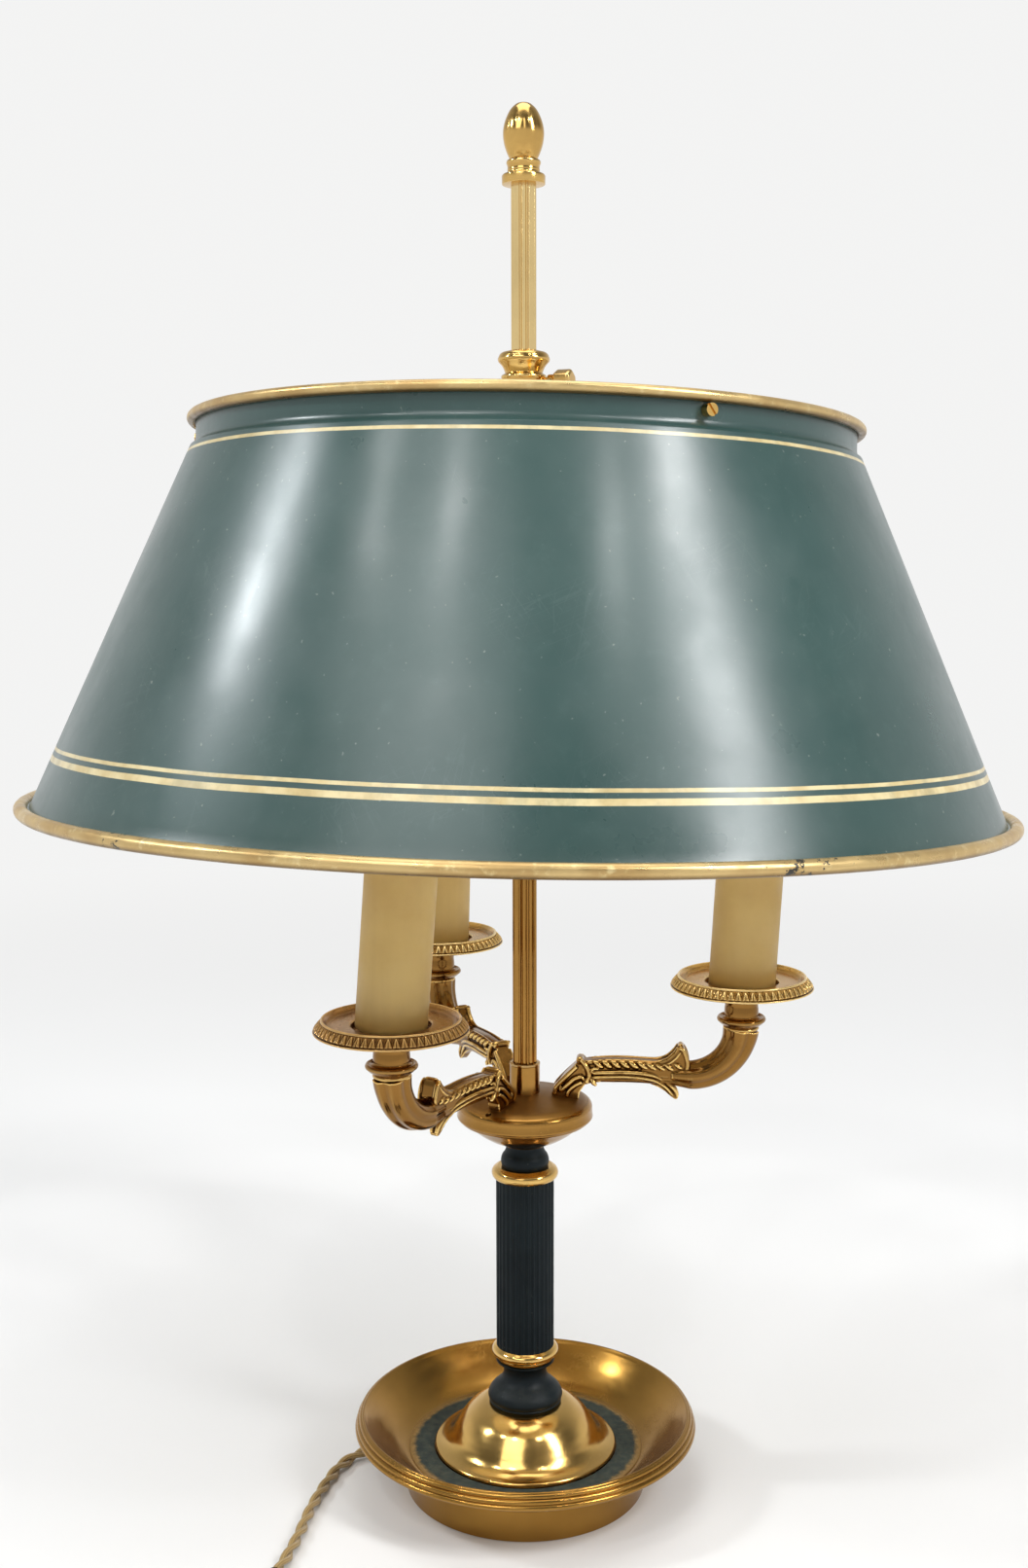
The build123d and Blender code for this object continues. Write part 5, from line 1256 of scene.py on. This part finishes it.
lamp_end, switch_in, switch_out = run_to(-48, 14.7), run_to(-96.5, -99), run_to(-96.5, -159)
sleeves = [
    strain_sleeve("lamp_end_sleeve", lamp_end, lamp_end + LAMP_SLEEVE),
    strain_sleeve("switch_sleeve_in", switch_in, switch_in - HOUSING_SLEEVE),
    strain_sleeve("switch_sleeve_out", switch_out, switch_out + HOUSING_SLEEVE),
    strain_sleeve("plug_sleeve", float(cord_run[-1]), float(cord_run[-1]) - HOUSING_SLEEVE),
]

# ---- CAD pieces that keep their own shape ----
for finish, names in (
    (IRON, ["base_weight"]),
    (FELT, ["base_felt"]),
    (STEEL, ["base_washer", "base_nut", "tie_tube", "candle_nipples", "nipple_nuts", "collar_nut"]),
    (STEEL, ["holder_strap_right", "holder_strap_rear", "holder_strap_left"]),
    (CAST_BRASS, ["arm_screws"]),
    (BARS, ["shade_spider"]),
    (POLISHED, ["shade_screws", "cord_bushing"]),
    (WIRE_WHITE, ["inner_wires"]),
    (BLACK_PHENOLIC, ["terminal_block", "lampholder_right", "lampholder_rear", "lampholder_left"]),
    (SWITCH_BROWN, ["cord_switch", "plug_body"]),
    (ROCKER_BROWN, ["switch_rocker"]),
    (PINS, ["plug_pins"]),
):
    for name in names:
        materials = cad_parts[name].data.materials
        materials.clear()
        materials.append(finish)

# ---- studio, in metres ----
BACKDROP = (0.90, 0.90, 0.895, 1)
FLOOR_REACH, FLOOR_LEVEL = 6, -0.0002


def seen_by(n, *rays):
    """1 for these kinds of ray, 0 for others."""
    seen = 0
    for ray in rays:
        seen = n.maths("MAXIMUM", n.add("LightPath", (), "Is %s Ray" % ray), seen)
    return seen


def pale_floor():
    """Large pale sheet with the lamp's shadow near it. Farther off it runs into the backdrop."""
    mesh = bpy.data.meshes.new("studio_floor")
    corners = [(x * FLOOR_REACH, y * FLOOR_REACH, FLOOR_LEVEL) for x, y in ((-1, -1), (1, -1), (1, 1), (-1, 1))]
    mesh.from_pydata(corners, [], [(0, 1, 2, 3)])

    def sheet(n):
        tint = n.noise(1.2, 3)
        tone = tint.ranged(0.3, 0.7).mixed((0.78, 0.775, 0.765, 1), (0.81, 0.805, 0.80, 1))
        return tone, tint.ranged(0.3, 0.7, 0.55, 0.65)

    finish = material("pale studio floor", sheet)
    mesh.materials.append(finish)
    n = Nodes(finish.node_tree)
    nodes = finish.node_tree.nodes
    away = n.add("VectorMath", {0: n.where()}, "Value", operation="LENGTH")
    far = away.ranged(0.3, 1.6) * seen_by(n, "Camera", "Glossy", "Transmission")
    near_by, plain = Value(n, nodes["Principled BSDF"].outputs[0]), n.add("Emission", {"Color": BACKDROP})
    both = n.add("MixShader", {0: far, 1: near_by, 2: plain})
    n.feed(nodes["Material Output"].inputs["Surface"], both)
    linked("studio_floor", mesh)


def soft_box(name, place, target, size, power, tint=(1, 1, 1)):
    light = bpy.data.lights.new(name, "AREA")
    light.shape, light.size, light.size_y = "RECTANGLE", *size
    light.energy, light.color = power, tint
    made = linked(name, light)
    made.location = place
    made.rotation_mode = "QUATERNION"
    made.rotation_quaternion = (Vector(target) - Vector(place)).to_track_quat("-Z", "Y")


def studio_world():
    """Cool fill light, a grey room that metal mirrors, and the backdrop that the camera sees."""
    world = bpy.data.worlds.new("studio")
    world.use_nodes = True
    bpy.context.scene.world = world
    world.node_tree.nodes.clear()
    n = Nodes(world.node_tree)
    way = n.add("TexCoord", (), "Generated")
    up, deep = n.upwards(way), n.add("SeparateXYZ", {0: way}, "Y")
    near_side, far_side = up.ranged(0.2, 0.45, 0.85, 0.15), up.ranged(0, 0.7, 0.9, 0.45)
    room = n.add("Mix", {0: deep.ranged(-0.1, 0.7), 2: near_side, 3: far_side}, data_type="FLOAT")
    mirrored = n.add("Background", {"Color": n.add("CombineColor", {0: room, 1: room, 2: room}), "Strength": 1})
    lighting = n.add("Background", {"Color": (0.97, 0.985, 1, 1), "Strength": 0.42})
    pale = n.add("Background", {"Color": BACKDROP, "Strength": 1})
    unseen = n.add("MixShader", {0: seen_by(n, "Glossy"), 1: lighting, 2: mirrored})
    last = n.add("MixShader", {0: seen_by(n, "Camera", "Transmission"), 1: unseen, 2: pale})
    n.feed(n.tree.nodes.new("ShaderNodeOutputWorld").inputs["Surface"], last)


CAMERA_PLACE = (0, -0.699, 0.3828)
CAMERA_PITCH, CAMERA_YAW, CAMERA_ROLL = math.radians(7.117), -0.005999, -0.002116
CAMERA_LENS, CAMERA_SENSOR = 40.2, 36


def studio_camera():
    data = bpy.data.cameras.new("camera")
    data.lens, data.sensor_width, data.sensor_fit, data.clip_start = CAMERA_LENS, CAMERA_SENSOR, "AUTO", 0.02
    made = linked("camera", data)
    turned_to = Matrix.Rotation(-CAMERA_YAW, 4, "Z") @ Matrix.Rotation(math.pi / 2 - CAMERA_PITCH, 4, "X")
    made.matrix_world = shift(*CAMERA_PLACE) @ turned_to @ Matrix.Rotation(CAMERA_ROLL, 4, "Z")
    bpy.context.scene.camera = made


pale_floor()
soft_box("window_left", (-1.7, -0.12, 1.54), (0, 0, 0.39), (0.14, 0.34), 13, (0.93, 0.97, 1))
soft_box("window_right", (1.31, -0.86, 1.45), (0, 0, 0.37), (0.36, 0.95), 21, (0.98, 0.99, 1))
soft_box("window_centre", (-0.6, -1.4, 1.55), (0, 0, 0.35), (1.1, 0.9), 9)
soft_box("overhead", (0, 0.1, 2.1), (0, 0, 0.3), (1.4, 1.4), 16)
for i, place in enumerate(((-1.25, -0.95, 2), (-0.62, -1.32, 2.05), (0.82, -1.25, 2), (1.3, -0.85, 2))):
    soft_box("ceiling_lamp_%d" % i, place, (0, 0, 0.05), (0.11, 0.11), 3.6)
studio_world()
studio_camera()
bpy.context.scene.view_settings.view_transform = "Standard"
